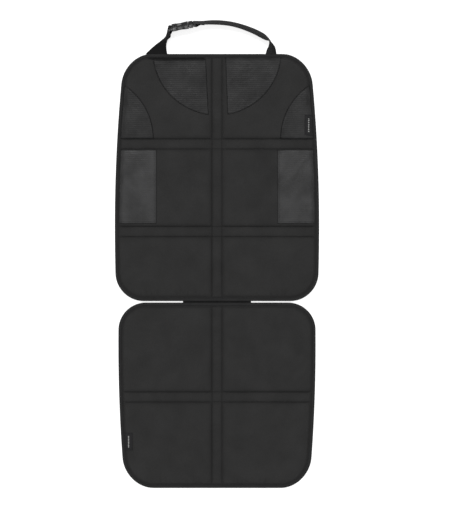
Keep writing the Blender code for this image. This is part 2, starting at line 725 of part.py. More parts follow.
def make_socket(frame):
    """The outer half: a hollow body open towards the tongue, with side windows and a webbing bar."""
    wide, waist = BUCKLE_HALF_WIDTH, BUCKLE_HALF_WIDTH - BUCKLE_WAIST
    body_start = BAR_WIDTH + BAR_SLOT
    window_end = WINDOW_START + WINDOW_LENGTH
    side = [
        (body_start, wide),
        (WINDOW_START - WAIST_RUN, wide),
        (WINDOW_START - WINDOW_LAND, waist),
        (window_end + WINDOW_LAND, waist),
        (window_end + WAIST_RUN, wide),
        (SOCKET_LENGTH, wide),
    ]
    outline_points = mirrored_outline(side)
    socket = plate("buckle_socket", outline_points, BUCKLE_THICKNESS, BUCKLE_ROUND, frame, "buckle_plastic")
    frame_wide = wide - FRAME_NARROWING
    end_side = [
        (0, wide - END_CORNER),
        (END_CORNER - FRAME_NARROWING, frame_wide),
        (body_start + MOULD_OVERLAP, frame_wide),
    ]
    end_frame = plate("socket_end_frame", mirrored_outline(end_side), FRAME_THICKNESS, BUCKLE_ROUND, frame)
    boolean(socket, end_frame, "UNION")
    slot = box(
        "socket_bar_slot",
        (BAR_WIDTH, -BAR_SLOT_HALF_WIDTH, -BUCKLE_THICKNESS),
        (body_start, BAR_SLOT_HALF_WIDTH, BUCKLE_THICKNESS),
        matrix=frame,
    )
    boolean(socket, slot, "DIFFERENCE")
    cavity = box(
        "socket_cavity",
        (SOCKET_LENGTH - CAVITY_LENGTH, -CAVITY_HALF_WIDTH, -CAVITY_HEIGHT / 2),
        (2 * SOCKET_LENGTH, CAVITY_HALF_WIDTH, CAVITY_HEIGHT / 2),
        matrix=frame,
    )
    boolean(socket, cavity, "DIFFERENCE")
    windows = box(
        "socket_windows",
        (WINDOW_START, -2 * wide, -CAVITY_HEIGHT / 2),
        (window_end, 2 * wide, CAVITY_HEIGHT / 2),
        matrix=frame,
    )
    boolean(socket, windows, "DIFFERENCE")


def make_tongue(frame):
    """The inner half: a webbing bar outside, and a guide and two sprung prongs inside the socket."""
    wide = BUCKLE_HALF_WIDTH
    start = SOCKET_LENGTH + GAP
    end = start + TONGUE_LENGTH
    slot_end = end - BAR_WIDTH
    slot_start = slot_end - BAR_SLOT
    shoulder = mirrored_outline([(start, wide), (slot_start, wide)])
    tongue = plate("buckle_tongue", shoulder, TONGUE_THICKNESS, BUCKLE_ROUND, frame, "buckle_plastic")
    frame_wide = wide - FRAME_NARROWING
    end_side = [
        (slot_start - MOULD_OVERLAP, frame_wide),
        (end - END_CORNER + FRAME_NARROWING, frame_wide),
        (end, wide - END_CORNER),
    ]
    end_frame = plate("tongue_end_frame", mirrored_outline(end_side), FRAME_THICKNESS, BUCKLE_ROUND, frame)
    boolean(tongue, end_frame, "UNION")
    slot = box(
        "tongue_bar_slot",
        (slot_start, -BAR_SLOT_HALF_WIDTH, -BUCKLE_THICKNESS),
        (slot_end, BAR_SLOT_HALF_WIDTH, BUCKLE_THICKNESS),
        matrix=frame,
    )
    boolean(tongue, slot, "DIFFERENCE")
    inner_half = CAVITY_HEIGHT / 2 - GAP
    root = start + MOULD_OVERLAP
    guide = box(
        "tongue_guide",
        (start - GUIDE_LENGTH, -GUIDE_WIDTH / 2, -inner_half),
        (root, GUIDE_WIDTH / 2, inner_half),
        matrix=frame,
    )
    boolean(tongue, guide, "UNION")
    prong_outer = CAVITY_HALF_WIDTH - GAP
    prong_inner = prong_outer - PRONG_WIDTH
    tip_start = WINDOW_START + GAP
    tip_end = WINDOW_START + WINDOW_LENGTH - GAP
    for side, word in ((-1, "low"), (1, "high")):
        prong_side = [
            (tip_start, side * prong_inner),
            (root, side * prong_inner),
            (root, side * prong_outer),
            (tip_end, side * prong_outer),
            (tip_end, side * (PRONG_BULGE - PRONG_CROWN)),
            (tip_end - PRONG_SLOPE, side * PRONG_BULGE),
            (tip_start + PRONG_SLOPE, side * PRONG_BULGE),
            (tip_start, side * (PRONG_BULGE - 2 * PRONG_CROWN)),
        ]
        prong = plate(f"tongue_prong_{word}", prong_side, 2 * inner_half, PRONG_ROUND, frame)
        boolean(tongue, prong, "UNION")


def make_strap_and_buckle():
    frame = buckle_matrix()
    make_socket(frame)
    make_tongue(frame)
    make_long_strap(frame)
    make_tab(frame)


def main():
    tab_width = TAB_BASE_RIGHT - TAB_BASE_LEFT
    tab_centre = (TAB_BASE_RIGHT + TAB_BASE_LEFT) / 2
    back_slots = [
        seam_slot("tab_slot", tab_centre, tab_width, BACK.top, -1),
        seam_slot("strap_slot", STRAP_BASE_X, WEBBING_WIDTH, BACK.top, -1),
        seam_slot("bridge_slot_back", 0.0, BRIDGE_WIDTH, BACK.bottom, 1),
    ]
    seat_slots = [seam_slot("bridge_slot_seat", 0.0, BRIDGE_WIDTH, SEAT.top, -1)]
    make_pad(BACK, back_slots)
    make_pad(SEAT, seat_slots)
    make_bridge()
    make_open_cloth()
    label_above = GAP + MESH_THICKNESS + GAP
    make_label(BACK, 1, 2, BACK_LABEL_SHARE, BACK_LABEL_HEIGHT, label_above)
    make_label(SEAT, -1, 0, SEAT_LABEL_SHARE, SEAT_LABEL_HEIGHT, GAP)
    make_strap_and_buckle()


clear_scene()
parts = new_collection("car_seat_protector")
cutters = new_collection("cutters")
materials = {name: make_material(name) for name in MATERIALS}
main()
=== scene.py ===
import math
from collections import namedtuple

import bmesh
import bpy
import numpy as np
from mathutils import Matrix, Vector, noise
from mathutils.bvhtree import BVHTree


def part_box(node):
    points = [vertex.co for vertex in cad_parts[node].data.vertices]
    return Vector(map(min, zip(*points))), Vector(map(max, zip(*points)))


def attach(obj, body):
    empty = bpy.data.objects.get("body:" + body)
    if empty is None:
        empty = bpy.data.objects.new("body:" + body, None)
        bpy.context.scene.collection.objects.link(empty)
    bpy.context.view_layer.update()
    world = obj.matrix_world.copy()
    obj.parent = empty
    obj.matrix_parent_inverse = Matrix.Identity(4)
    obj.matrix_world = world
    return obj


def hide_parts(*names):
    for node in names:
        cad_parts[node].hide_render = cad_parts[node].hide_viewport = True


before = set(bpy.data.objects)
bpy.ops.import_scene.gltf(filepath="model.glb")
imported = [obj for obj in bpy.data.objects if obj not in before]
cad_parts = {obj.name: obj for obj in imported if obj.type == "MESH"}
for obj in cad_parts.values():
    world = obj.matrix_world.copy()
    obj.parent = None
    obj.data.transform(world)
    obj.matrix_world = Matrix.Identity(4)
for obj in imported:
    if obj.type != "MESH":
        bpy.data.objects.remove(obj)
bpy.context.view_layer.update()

bl_info = {
    "name": "Car seat protector",
    "version": (1, 0, 0),
    "blender": (4, 5, 0),
    "location": "View3D > Sidebar > Protector",
    "description": "Makes a quilted back pad and seat pad with a headrest strap",
    "category": "Object",
}

MM = 0.001

# Heights in the cloth stack, from the surface up
UNDERSIDE = 0.5 * MM
FOAM_BOTTOM = 1.35 * MM
FLANGE_BOTTOM = 1.3 * MM
COVER_BOTTOM = 2.65 * MM
COVER_TOP = 3.6 * MM
SEAM_Z = 2.45 * MM

# Insets from a pad's outer edge
FLANGE_INSET = 2.0 * MM
RIM_INSET = 3.0 * MM
BINDING_WIDTH = 8.5 * MM
BINDING_SEAM_INSET = 7.0 * MM
PILLOW_INSET = 10.0 * MM
FOAM_INSET = 11.5 * MM

CHANNEL_HALF_WIDTH = 11.6 * MM
PILLOW_RISE = 6.4 * MM
PILLOW_RUN = 10.0 * MM
PILLOW_CROWN = 1.2 * MM
PILLOW_CROWN_REACH = 30.0 * MM
CHANNEL_CROWN = 0.7 * MM
OUTLINE_POINTS = 640

# Where the quilted cloth needs points: distances from a seam, and shares of a channel's half width
SEAM_STEPS = (0.0, 1.3 * MM, 3.0 * MM, 5.2 * MM, 8.0 * MM, 11.5 * MM)
CHANNEL_SHARES = (-1.0, -0.88, -0.66, -0.35, 0.0, 0.35, 0.66, 0.88)

# Share of the pillows' height before they swell
UNFILLED_SHARE = 0.93

Pad = namedtuple(
    "Pad", "name low high half_width widest taper_top taper_bottom top_radius bottom_radius channels"
)


def pad_from_frame(name, half_width, widest, tapers, radii, channels):
    """A pad whose length is the bound edge's.

    The widest place and the channels are shares of that length, counted down from the top."""
    low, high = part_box(f"{name}_binding")
    length = high.y - low.y
    places = tuple(high.y - length * share for share in channels)
    return Pad(name, low.y, high.y, half_width, high.y - length * widest, *tapers, *radii, places)


BACK = pad_from_frame(
    "back", 240.0 * MM, 0.6925, (22.3 * MM, 3.5 * MM), (70.5 * MM, 65.0 * MM), (0.7185, 0.3643)
)
SEAT = pad_from_frame(
    "seat", 231.7 * MM, 0.2296, (1.0 * MM, 15.5 * MM), (63.5 * MM, 72.0 * MM), (0.5084,)
)


class ClothSettings(bpy.types.PropertyGroup):
    """Cloth, quilting and sewing"""

    grid_step: bpy.props.FloatProperty(
        name="Grid step", description="Spacing of the quilted cloth's points",
        default=4.2 * MM, unit="LENGTH",
    )
    pressure: bpy.props.FloatProperty(
        name="Filling pressure", description="How hard the foam pushes the cover up",
        default=4.0,
    )
    growth: bpy.props.FloatProperty(
        name="Spare cloth", description="How much longer the cover is than the flat pad",
        default=0.03,
    )
    most_swell: bpy.props.FloatProperty(
        name="Most swell", description="The furthest a point may move",
        default=2.6 * MM, unit="LENGTH",
    )
    stitch: bpy.props.FloatProperty(
        name="Stitch", description="Length from one stitch to the next",
        default=3.4 * MM, unit="LENGTH",
    )
    thread: bpy.props.FloatProperty(
        name="Thread", description="Half the thread's thickness",
        default=0.36 * MM, unit="LENGTH",
    )
    weave: bpy.props.FloatProperty(
        name="Weave", description="Spacing of the cover's yarns",
        default=0.9 * MM, unit="LENGTH",
    )
    cover_colour: bpy.props.FloatVectorProperty(
        name="Cover", description="Colour of the plain cloth",
        default=(0.023, 0.0228, 0.0227), subtype="COLOR",
    )
    mesh_colour: bpy.props.FloatVectorProperty(
        name="Mesh", description="Colour of the open cloth at the top",
        default=(0.022, 0.022, 0.0222), subtype="COLOR",
    )
    # The side patches are the same ribbed mesh, made lighter than the top mesh as painted sheen
    patch_sheen_colour: bpy.props.FloatVectorProperty(
        name="Patches", description="Colour of the side patches",
        default=(0.033, 0.033, 0.0335), subtype="COLOR",
    )
    crease_colour: bpy.props.FloatVectorProperty(
        name="Crease", description="Colour of the strip across the crease",
        default=(0.009, 0.009, 0.009), subtype="COLOR",
    )
    tape_colour: bpy.props.FloatVectorProperty(
        name="Binding", description="Colour of the edge tape",
        default=(0.017, 0.017, 0.0172), subtype="COLOR",
    )
    thread_colour: bpy.props.FloatVectorProperty(
        name="Thread", description="Colour of the sewing thread",
        default=(0.007, 0.007, 0.007), subtype="COLOR",
    )
    underside_colour: bpy.props.FloatVectorProperty(
        name="Underside", description="Colour of the coated cloth",
        default=(0.02, 0.02, 0.021), subtype="COLOR",
    )
    label_colour: bpy.props.FloatVectorProperty(
        name="Label", description="Colour of the woven labels",
        default=(0.007, 0.007, 0.008), subtype="COLOR",
    )


class StrapSettings(bpy.types.PropertyGroup):
    """Headrest strap and buckle"""

    width: bpy.props.FloatProperty(
        name="Webbing width", description="Width of the long strap",
        default=25.0 * MM, unit="LENGTH",
    )
    thickness: bpy.props.FloatProperty(
        name="Webbing thickness", description="Thickness of the long strap",
        default=1.0 * MM, unit="LENGTH",
    )
    webbing_colour: bpy.props.FloatVectorProperty(
        name="Webbing", description="Colour of the long strap",
        default=(0.02, 0.02, 0.0204), subtype="COLOR",
    )
    # The tab's colour is darker than the cover's as painted shade, the tab facing away from the light
    tab_shaded_colour: bpy.props.FloatVectorProperty(
        name="Tab", description="Colour of the short cloth tab",
        default=(0.009, 0.009, 0.0092), subtype="COLOR",
    )
    buckle_colour: bpy.props.FloatVectorProperty(
        name="Buckle", description="Colour of the moulded buckle",
        default=(0.036, 0.036, 0.037), subtype="COLOR",
    )


class StageSettings(bpy.types.PropertyGroup):
    """Camera, lamps and floor"""

    camera_height: bpy.props.FloatProperty(
        name="Camera height", description="Height of the camera above the floor",
        default=3.3, unit="LENGTH",
    )
    lens: bpy.props.FloatProperty(
        name="Lens", description="Focal length in millimetres", default=98.7
    )
    lamp_power: bpy.props.FloatProperty(
        name="Lamp power", description="Mean power of the two lamps",
        default=27.0, subtype="POWER",
    )
    sky: bpy.props.FloatProperty(
        name="Fill light", description="Strength of the light from all round", default=0.36
    )


def select_only(thing):
    bpy.ops.object.select_all(action="DESELECT")
    thing.select_set(True)
    bpy.context.view_layer.objects.active = thing


def apply_modifier(thing, kind, **settings):
    """Adds one modifier with these settings and applies it."""
    modifier = thing.modifiers.new(kind.lower(), kind)
    for key, value in settings.items():
        setattr(modifier, key, value)
    select_only(thing)
    bpy.ops.object.modifier_apply(modifier=modifier.name)


def subdivide_smooth(thing):
    apply_modifier(thing, "SUBSURF", levels=1, render_levels=1)


def piece_from(name, points, faces, material, uvs=None):
    """A smooth-shaded piece from its points and faces, with one UV pair a point where given."""
    mesh = bpy.data.meshes.new(name)
    mesh.from_pydata([tuple(point) for point in points], [], [tuple(face) for face in faces])
    mesh.shade_smooth()
    if uvs is not None:
        layer = mesh.uv_layers.new(name="along")
        corners = np.empty(len(mesh.loops), dtype=np.int32)
        mesh.loops.foreach_get("vertex_index", corners)
        layer.data.foreach_set("uv", np.asarray(uvs, dtype=np.float32)[corners].ravel())
    return link(name, mesh, material)


def link(name, mesh, material):
    thing = bpy.data.objects.new(name, mesh)
    bpy.context.scene.collection.objects.link(thing)
    if material:
        mesh.materials.append(material)
    return thing


def mesh_points(thing):
    points = np.empty(len(thing.data.vertices) * 3)
    thing.data.vertices.foreach_get("co", points)
    return points.reshape(-1, 3)


def set_points(thing, points):
    thing.data.vertices.foreach_set("co", points.astype(np.float32).ravel())
    thing.data.update()


def finish_piece(thing, slot, *nodes):
    """Puts a piece on the one body and hides any CAD nodes that it stands for. The finish it is given is
    not used.
    """
    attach(thing, "root")
    if nodes:
        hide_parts(*nodes)
    return thing


def ripple(point, wavelength, seed=0.0):
    """Smooth noise from -1 to 1 with about this wavelength."""
    x, y, z = (place / wavelength for place in point)
    return noise.noise(Vector((x + seed, y - seed, z + 0.5 * seed)))


def ripples(plan, wavelength, seed, stretch=(1.0, 1.0), wanted=None):
    """The same noise at each plan point, or 0 where it isn't wanted."""
    if wanted is None:
        wanted = np.full(len(plan), True)
    return np.array([
        ripple((x * stretch[0], y * stretch[1], 0.0), wavelength, seed) if here else 0.0
        for (x, y), here in zip(plan, wanted)
    ])


def bell(distance, spread):
    """1 at no distance, falling off smoothly over about this spread."""
    return np.exp(-((distance / spread) ** 2))


def ramp(distance, reach):
    """0 up to no distance, then rising evenly to 1 over this reach."""
    return np.clip(distance / reach, 0, 1)


class Shader:
    """Adds nodes to a new material and links them to its surface shader."""

    def __init__(self, name, colour, roughness, **surface):
        self.material = bpy.data.materials.new(name)
        self.material.use_nodes = True
        self.tree = self.material.node_tree
        self.surface = self.tree.nodes["Principled BSDF"]
        self.surface.inputs["Base Color"].default_value = (*colour, 1.0)
        self.surface.inputs["Roughness"].default_value = roughness
        for socket, value in surface.items():
            self.surface.inputs[socket.replace("_", " ")].default_value = value
        coordinates = self.add("ShaderNodeTexCoord")
        self.place = coordinates.outputs["Object"]
        self.along = coordinates.outputs["UV"]

    def add(self, kind, **settings):
        node = self.tree.nodes.new(kind)
        for key, value in settings.items():
            setattr(node, key, value)
        return node

    def put(self, socket, value):
        if isinstance(value, bpy.types.NodeSocket):
            self.tree.links.new(value, socket)
        else:
            socket.default_value = value

    def math(self, operation, *values):
        node = self.add("ShaderNodeMath", operation=operation)
        for socket, value in zip(node.inputs, values):
            self.put(socket, value)
        return node.outputs[0]

    def axes(self, source, pitch):
        """X and Y of the coordinates, counted in this pitch."""
        split = self.add("ShaderNodeSeparateXYZ")
        self.put(split.inputs[0], source)
        return [self.math("DIVIDE", split.outputs[axis], pitch) for axis in ("X", "Y")]

    def spread(self, source, wavelength, detail=3.0, low=0.0, high=1.0, stretch=(1.0, 1.0, 1.0)):
        """Noise of about this wavelength, mapped from its usual range to low and high."""
        mapping = self.add("ShaderNodeMapping")
        self.put(mapping.inputs["Vector"], source)
        mapping.inputs["Scale"].default_value = stretch
        pattern = self.add("ShaderNodeTexNoise")
        self.put(pattern.inputs["Vector"], mapping.outputs[0])
        pattern.inputs["Scale"].default_value = 1.0 / wavelength
        pattern.inputs["Detail"].default_value = detail
        ranged = self.add("ShaderNodeMapRange")
        self.put(ranged.inputs["Value"], pattern.outputs["Fac"])
        for key, value in (("From Min", 0.3), ("From Max", 0.7), ("To Min", low), ("To Max", high)):
            ranged.inputs[key].default_value = value
        return ranged.outputs[0]

    def bulge(self, value):
        """Half a sine from one whole number to the next: the round back of a yarn."""
        return self.math("SINE", self.math("MULTIPLY", self.math("FRACT", value), math.pi))

    def weave(self, source, pitch):
        """Plain weave: in turn one yarn lies over the other."""
        u, v = self.axes(source, pitch)
        cell = self.math("ADD", self.math("FLOOR", u), self.math("FLOOR", v))
        over = self.math("PINGPONG", cell, 1.0)
        under = self.math("SUBTRACT", 1.0, over)
        first = self.math("MULTIPLY", self.bulge(u), over)
        second = self.math("MULTIPLY", self.bulge(v), under)
        return self.math("ADD", first, second)

    def tint(self, colour, *factors):
        """The base colour times every factor."""
        shade = factors[0]
        for factor in factors[1:]:
            shade = self.math("MULTIPLY", shade, factor)
        mix = self.add("ShaderNodeVectorMath", operation="SCALE")
        mix.inputs[0].default_value = colour
        self.put(mix.inputs["Scale"], shade)
        self.put(self.surface.inputs["Base Color"], mix.outputs[0])

    def bumps(self, *layers):
        """Height layers, each with the height of its full range in metres."""
        normal = None
        for height, distance in layers:
            bump = self.add("ShaderNodeBump")
            bump.inputs["Distance"].default_value = distance
            self.put(bump.inputs["Height"], height)
            if normal:
                self.put(bump.inputs["Normal"], normal)
            normal = bump.outputs[0]
        self.put(self.surface.inputs["Normal"], normal)

    def roughness(self, wavelength, detail, low, high):
        """Gloss that varies over the piece."""
        pattern = self.spread(self.place, wavelength, detail, low, high)
        self.put(self.surface.inputs["Roughness"], pattern)

    def painted_shading(self):
        """1 less the darkness stored at each point of the cloth: painted shade where it is above 0, painted
        highlight where it is below.
        """
        stored = self.add("ShaderNodeAttribute", attribute_name="painted_shading")
        return self.math("SUBTRACT", 1.0, stored.outputs["Fac"])

    def between(self, value, low, high):
        """A 0 to 1 value mapped to a range."""
        return self.math("MULTIPLY_ADD", value, high - low, low)


def cover_material(settings):
    colour = settings.cover_colour
    shader = Shader("quilted_oxford_cloth", colour, 0.8, Specular_IOR_Level=0.22, Sheen_Weight=0.05)
    yarns = shader.weave(shader.place, settings.weave)
    cloudy = shader.spread(shader.place, 70 * MM, 4.0, 0.9, 1.1)
    lint = shader.spread(shader.place, 1.6 * MM, 2.0, 0.9, 1.1)
    creases = shader.spread(shader.place, 24 * MM, 5.0)
    # The stored darkness is painted shade along the seams, the border and the puckers
    shader.tint(colour, shader.between(yarns, 0.8, 1.15), cloudy, lint, shader.painted_shading())
    shader.roughness(40 * MM, 2.0, 0.72, 0.88)
    shader.bumps((creases, 0.7 * MM), (yarns, 0.12 * MM))
    return shader.material


def mesh_material(name, colour, gloss):
    """Open cloth: raised ribs across, with a row of small holes between each two."""
    shader = Shader(name, colour, 0.5, Specular_IOR_Level=gloss)
    across, rows = shader.axes(shader.place, 4.7 * MM)
    ribs = shader.bulge(rows)
    stagger = shader.math("MULTIPLY", shader.math("PINGPONG", shader.math("FLOOR", rows), 1.0), 0.5)
    posts = shader.bulge(shader.math("ADD", shader.math("MULTIPLY", across, 2.6), stagger))
    height = shader.math("MAXIMUM", ribs, shader.math("MULTIPLY", posts, 0.8))
    cloudy = shader.spread(shader.place, 42 * MM, 4.0, 0.7, 1.32)
    # The stored darkness is painted shade at the turned edges and along the binding, with a painted
    # highlight on the hem
    shader.tint(colour, shader.between(height, 0.72, 1.12), cloudy, shader.painted_shading())
    shader.roughness(30 * MM, 4.0, 0.42, 0.66)
    creases = shader.spread(shader.place, 20 * MM, 4.0)
    shader.bumps((creases, 1.0 * MM), (height, 0.25 * MM))
    return shader.material


def tape_material(settings):
    """Woven tape: fine diagonal twill that follows the edge."""
    colour = settings.tape_colour
    shader = Shader("twill_binding_tape", colour, 0.78, Specular_IOR_Level=0.22, Sheen_Weight=0.05)
    u, v = shader.axes(shader.along, 1.0)
    slant = shader.math("MULTIPLY_ADD", v, 700.0, shader.math("MULTIPLY", u, 900.0))
    twill = shader.bulge(slant)
    cloudy = shader.spread(shader.place, 40 * MM, 3.0, 0.85, 1.15)
    shader.tint(colour, shader.between(twill, 0.75, 1.15), cloudy)
    shader.bumps((shader.spread(shader.place, 9 * MM, 3.0), 0.35 * MM), (twill, 0.12 * MM))
    return shader.material


def dense_material(name, colour):
    """Thin dense cloth with no gloss."""
    shader = Shader(name, colour, 0.85, Specular_IOR_Level=0.1)
    yarns = shader.weave(shader.place, 0.8 * MM)
    cloudy = shader.spread(shader.place, 30 * MM, 3.0, 0.85, 1.15)
    shader.tint(colour, shader.between(yarns, 0.8, 1.15), cloudy)
    shader.bumps((shader.spread(shader.place, 7 * MM, 3.0), 0.3 * MM), (yarns, 0.1 * MM))
    return shader.material


def thread_material(settings):
    colour = settings.thread_colour
    shader = Shader("twisted_sewing_thread", colour, 0.7, Specular_IOR_Level=0.15)
    twist = shader.spread(shader.place, 0.8 * MM, 1.0, 0.8, 1.2, stretch=(1.0, 1.6, 1.0))
    shader.tint(colour, twist)
    shader.bumps((twist, 0.1 * MM))
    return shader.material


def underside_material(settings):
    colour = settings.underside_colour
    shader = Shader("coated_underside_cloth", colour, 0.6, Specular_IOR_Level=0.4)
    yarns = shader.weave(shader.place, 1.4 * MM)
    cloudy = shader.spread(shader.place, 60 * MM, 3.0, 0.85, 1.15)
    shader.tint(colour, shader.between(yarns, 0.85, 1.1), cloudy)
    shader.roughness(15 * MM, 3.0, 0.5, 0.7)
    shader.bumps((shader.spread(shader.place, 18 * MM, 3.0), 0.4 * MM), (yarns, 0.1 * MM))
    return shader.material


def webbing_material(settings):
    """Ribbed webbing: chevron rows along the strap, with plain selvedges."""
    colour = settings.webbing_colour
    shader = Shader("ribbed_webbing", colour, 0.75, Specular_IOR_Level=0.15)
    u, v = shader.axes(shader.along, 1.0)
    zigzag = shader.math("PINGPONG", shader.math("MULTIPLY", v, 1000.0), 3.0)
    rows = shader.bulge(shader.math("MULTIPLY_ADD", zigzag, 0.5, shader.math("MULTIPLY", u, 700.0)))
    cloudy = shader.spread(shader.place, 30 * MM, 3.0, 0.85, 1.15)
    shader.tint(colour, shader.between(rows, 0.6, 1.2), cloudy)
    shader.bumps((rows, 0.25 * MM))
    return shader.material


def plastic_material(name, colour, gloss, smoothest, roughest):
    """Moulded acetal: fine spark texture, smoother where it is handled."""
    shader = Shader(name, colour, smoothest, Specular_IOR_Level=gloss)
    grain = shader.spread(shader.place, 0.5 * MM, 2.0, 0.92, 1.08)
    shader.tint(colour, grain, shader.spread(shader.place, 8 * MM, 3.0, 0.92, 1.08))
    shader.roughness(12 * MM, 3.0, smoothest, roughest)
    shader.bumps((shader.spread(shader.place, 0.6 * MM, 2.0), 0.03 * MM))
    return shader.material


def buckle_plastics(settings):
    """The polished plastic of a moulding's sides, and the rough spark texture of its broad faces, darkened
    as painted shade.
    """
    polished = settings.buckle_colour
    # The broad faces take the same plastic at under half its colour, which is painted shade
    shaded_matt = [0.45 * part for part in polished]
    # Name, colour, gloss, and least and greatest roughness
    finishes = (
        ("polished_acetal", polished, 0.5, 0.28, 0.42),
        ("spark_textured_acetal", shaded_matt, 0.06, 0.7, 0.85),
    )
    return [material(finish[0], plastic_material, *finish) for finish in finishes]


def label_material(settings):
    colour = settings.label_colour
    shader = Shader("woven_label_ribbon", colour, 0.7, Specular_IOR_Level=0.35, Sheen_Weight=0.05)
    yarns = shader.weave(shader.place, 0.5 * MM)
    cloudy = shader.spread(shader.place, 6 * MM, 3.0, 0.85, 1.15)
    shader.tint(colour, shader.between(yarns, 0.7, 1.2), cloudy)
    shader.bumps((yarns, 0.08 * MM))
    return shader.material


def pale_yarn_material():
    colour = (0.42, 0.42, 0.41)
    shader = Shader("pale_label_yarn", colour, 0.75)
    yarns = shader.weave(shader.place, 0.4 * MM)
    shader.tint(colour, shader.between(yarns, 0.8, 1.1))
    shader.bumps((yarns, 0.08 * MM))
    return shader.material


def material(name, make, *values):
    """The material of this name, made the first time it is asked for."""
    return bpy.data.materials.get(name) or make(*values)


def half_width_at(pad, y):
    """The pad is widest part way down and narrows along a parabola both ways."""
    up = np.clip((y - pad.widest) / (pad.high - pad.widest), 0, None)
    down = np.clip((pad.widest - y) / (pad.widest - pad.low), 0, None)
    return pad.half_width - pad.taper_top * up**2 - pad.taper_bottom * down**2


def distances_along(line):
    """How far along a line each of its points lies."""
    return np.concatenate([[0], np.cumsum(np.linalg.norm(np.diff(line, axis=0), axis=1))])


def resampled(points, count, closed=True):
    """The same line through evenly spaced points."""
    line = np.vstack([points, points[:1]]) if closed else np.asarray(points)
    lengths = distances_along(line)
    targets = np.linspace(0, lengths[-1], count, endpoint=not closed)
    return np.stack([np.interp(targets, lengths, column) for column in line.T], axis=1)


def to_left(steps):
    """Unit directions at right angles to these steps, to their left."""
    return np.stack([-steps[:, 1], steps[:, 0]], axis=1) / np.linalg.norm(steps, axis=1)[:, None]


def nearest(points, place):
    """Index of the point that lies nearest to a place."""
    return np.argmin(np.sum((points - place) ** 2, axis=1))


def outline(pad, inset=0.0, count=OUTLINE_POINTS):
    """Even points round the pad's edge, counter-clockwise, this far inside it."""
    low_radius, top_radius = pad.bottom_radius, pad.top_radius
    turn = np.linspace(-math.pi / 2, 0, 24)
    bottom = np.stack([low_radius * (np.cos(turn) - 1), pad.low + low_radius * (1 + np.sin(turn))])
    side = np.linspace(pad.low + low_radius, pad.high - top_radius, 42)[1:-1]
    top = np.stack([top_radius * (np.cos(-turn) - 1), pad.high - top_radius * (1 - np.sin(-turn))])
    right = np.concatenate([bottom, np.stack([side * 0, side]), top[:, ::-1]], axis=1).T
    right[:, 0] = (right[:, 0] + pad.half_width) * half_width_at(pad, right[:, 1]) / pad.half_width
    left = right[::-1] * (-1, 1)
    loop = resampled(np.vstack([right, left]), count)
    ahead = np.roll(loop, -1, axis=0) - np.roll(loop, 1, axis=0)
    return loop + to_left(ahead) * inset


def inside(points, loop):
    """How far each point lies inside a convex counter-clockwise loop."""
    inward = to_left(np.roll(loop, -1, axis=0) - loop)
    offsets = np.sum(inward * loop, axis=1)
    return np.min(points @ inward.T - offsets, axis=1)


def channel_distance(values, lines):
    """How far outside the nearest quilting channel each value lies. It is negative in a channel."""
    nearest = np.full(values.shape, 1.0)
    for line in lines:
        nearest = np.minimum(nearest, np.abs(values - line) - CHANNEL_HALF_WIDTH)
    return nearest


def pillow_height(points, pad):
    """Height of the quilted surface above the flat channels."""
    distances = [
        channel_distance(points[:, 0], (0.0,)),
        channel_distance(points[:, 1], pad.channels),
        inside(points, outline(pad, PILLOW_INSET, 240)),
    ]
    cubes = [np.clip(1 - distance / PILLOW_RUN, 0, None) ** 3 for distance in distances]
    shortfall = sum(cubes) ** (1 / 3)
    height = PILLOW_RISE * np.sqrt(1 - np.clip(shortfall, 0, 1) ** 2)
    crown = PILLOW_CROWN
    for distance in distances:
        crown = crown * (1 - np.exp(-np.clip(distance, 0, None) / PILLOW_CROWN_REACH))
    return height + crown * (height > 0)


def graded(start, end, seam_at_start, seam_at_end, step):
    """Positions from start to end, closer together beside a seam."""
    first = [start + distance for distance in SEAM_STEPS] if seam_at_start else [start]
    last = [end - distance for distance in reversed(SEAM_STEPS)] if seam_at_end else [end]
    count = max(round((last[0] - first[-1]) / step), 1)
    between = np.linspace(first[-1], last[0], count + 1)[1:-1]
    return [*first, *between, *last]


def grid_lines(low, high, channels, step):
    """Grid positions across the pad that follow both seams of each channel."""
    lines = []
    start, seam = low, False
    for channel in sorted(channels):
        lines += graded(start, channel - CHANNEL_HALF_WIDTH, seam, True, step)[:-1]
        lines += [channel + CHANNEL_HALF_WIDTH * share for share in CHANNEL_SHARES]
        start, seam = channel + CHANNEL_HALF_WIDTH, True
    lines += graded(start, high, seam, False, step)
    return np.array(lines)


def quilted_grid(pad, step):
    """Points and faces of a grid over the pad, with its border moved onto the rim."""
    xs = grid_lines(-pad.half_width, pad.half_width, (0.0,), step)
    ys = grid_lines(pad.low, pad.high, pad.channels, step)
    rim = outline(pad, RIM_INSET)
    x, y = np.meshgrid(xs, ys)
    plan = np.stack([x.ravel(), y.ravel()], axis=1)
    wide = len(xs)
    corner = (np.arange(len(ys) - 1)[:, None] * wide + np.arange(wide - 1)).ravel()
    faces = np.stack([corner, corner + 1, corner + wide + 1, corner + wide], axis=1)
    centres = plan[faces].mean(axis=1)
    faces = faces[inside(centres, rim) > 0]
    kept, faces = np.unique(faces, return_inverse=True)
    plan, faces = plan[kept], faces.reshape(-1, 4)
    sides = [faces[:, pair] for pair in ([0, 1], [1, 2], [2, 3], [3, 0])]
    pairs, uses = np.unique(np.sort(np.concatenate(sides), axis=1), axis=0, return_counts=True)
    border = np.unique(pairs[uses == 1])
    fine_rim = outline(pad, RIM_INSET, 6 * OUTLINE_POINTS)
    for index in border:
        plan[index] = fine_rim[nearest(fine_rim, plan[index])]
    return plan, faces


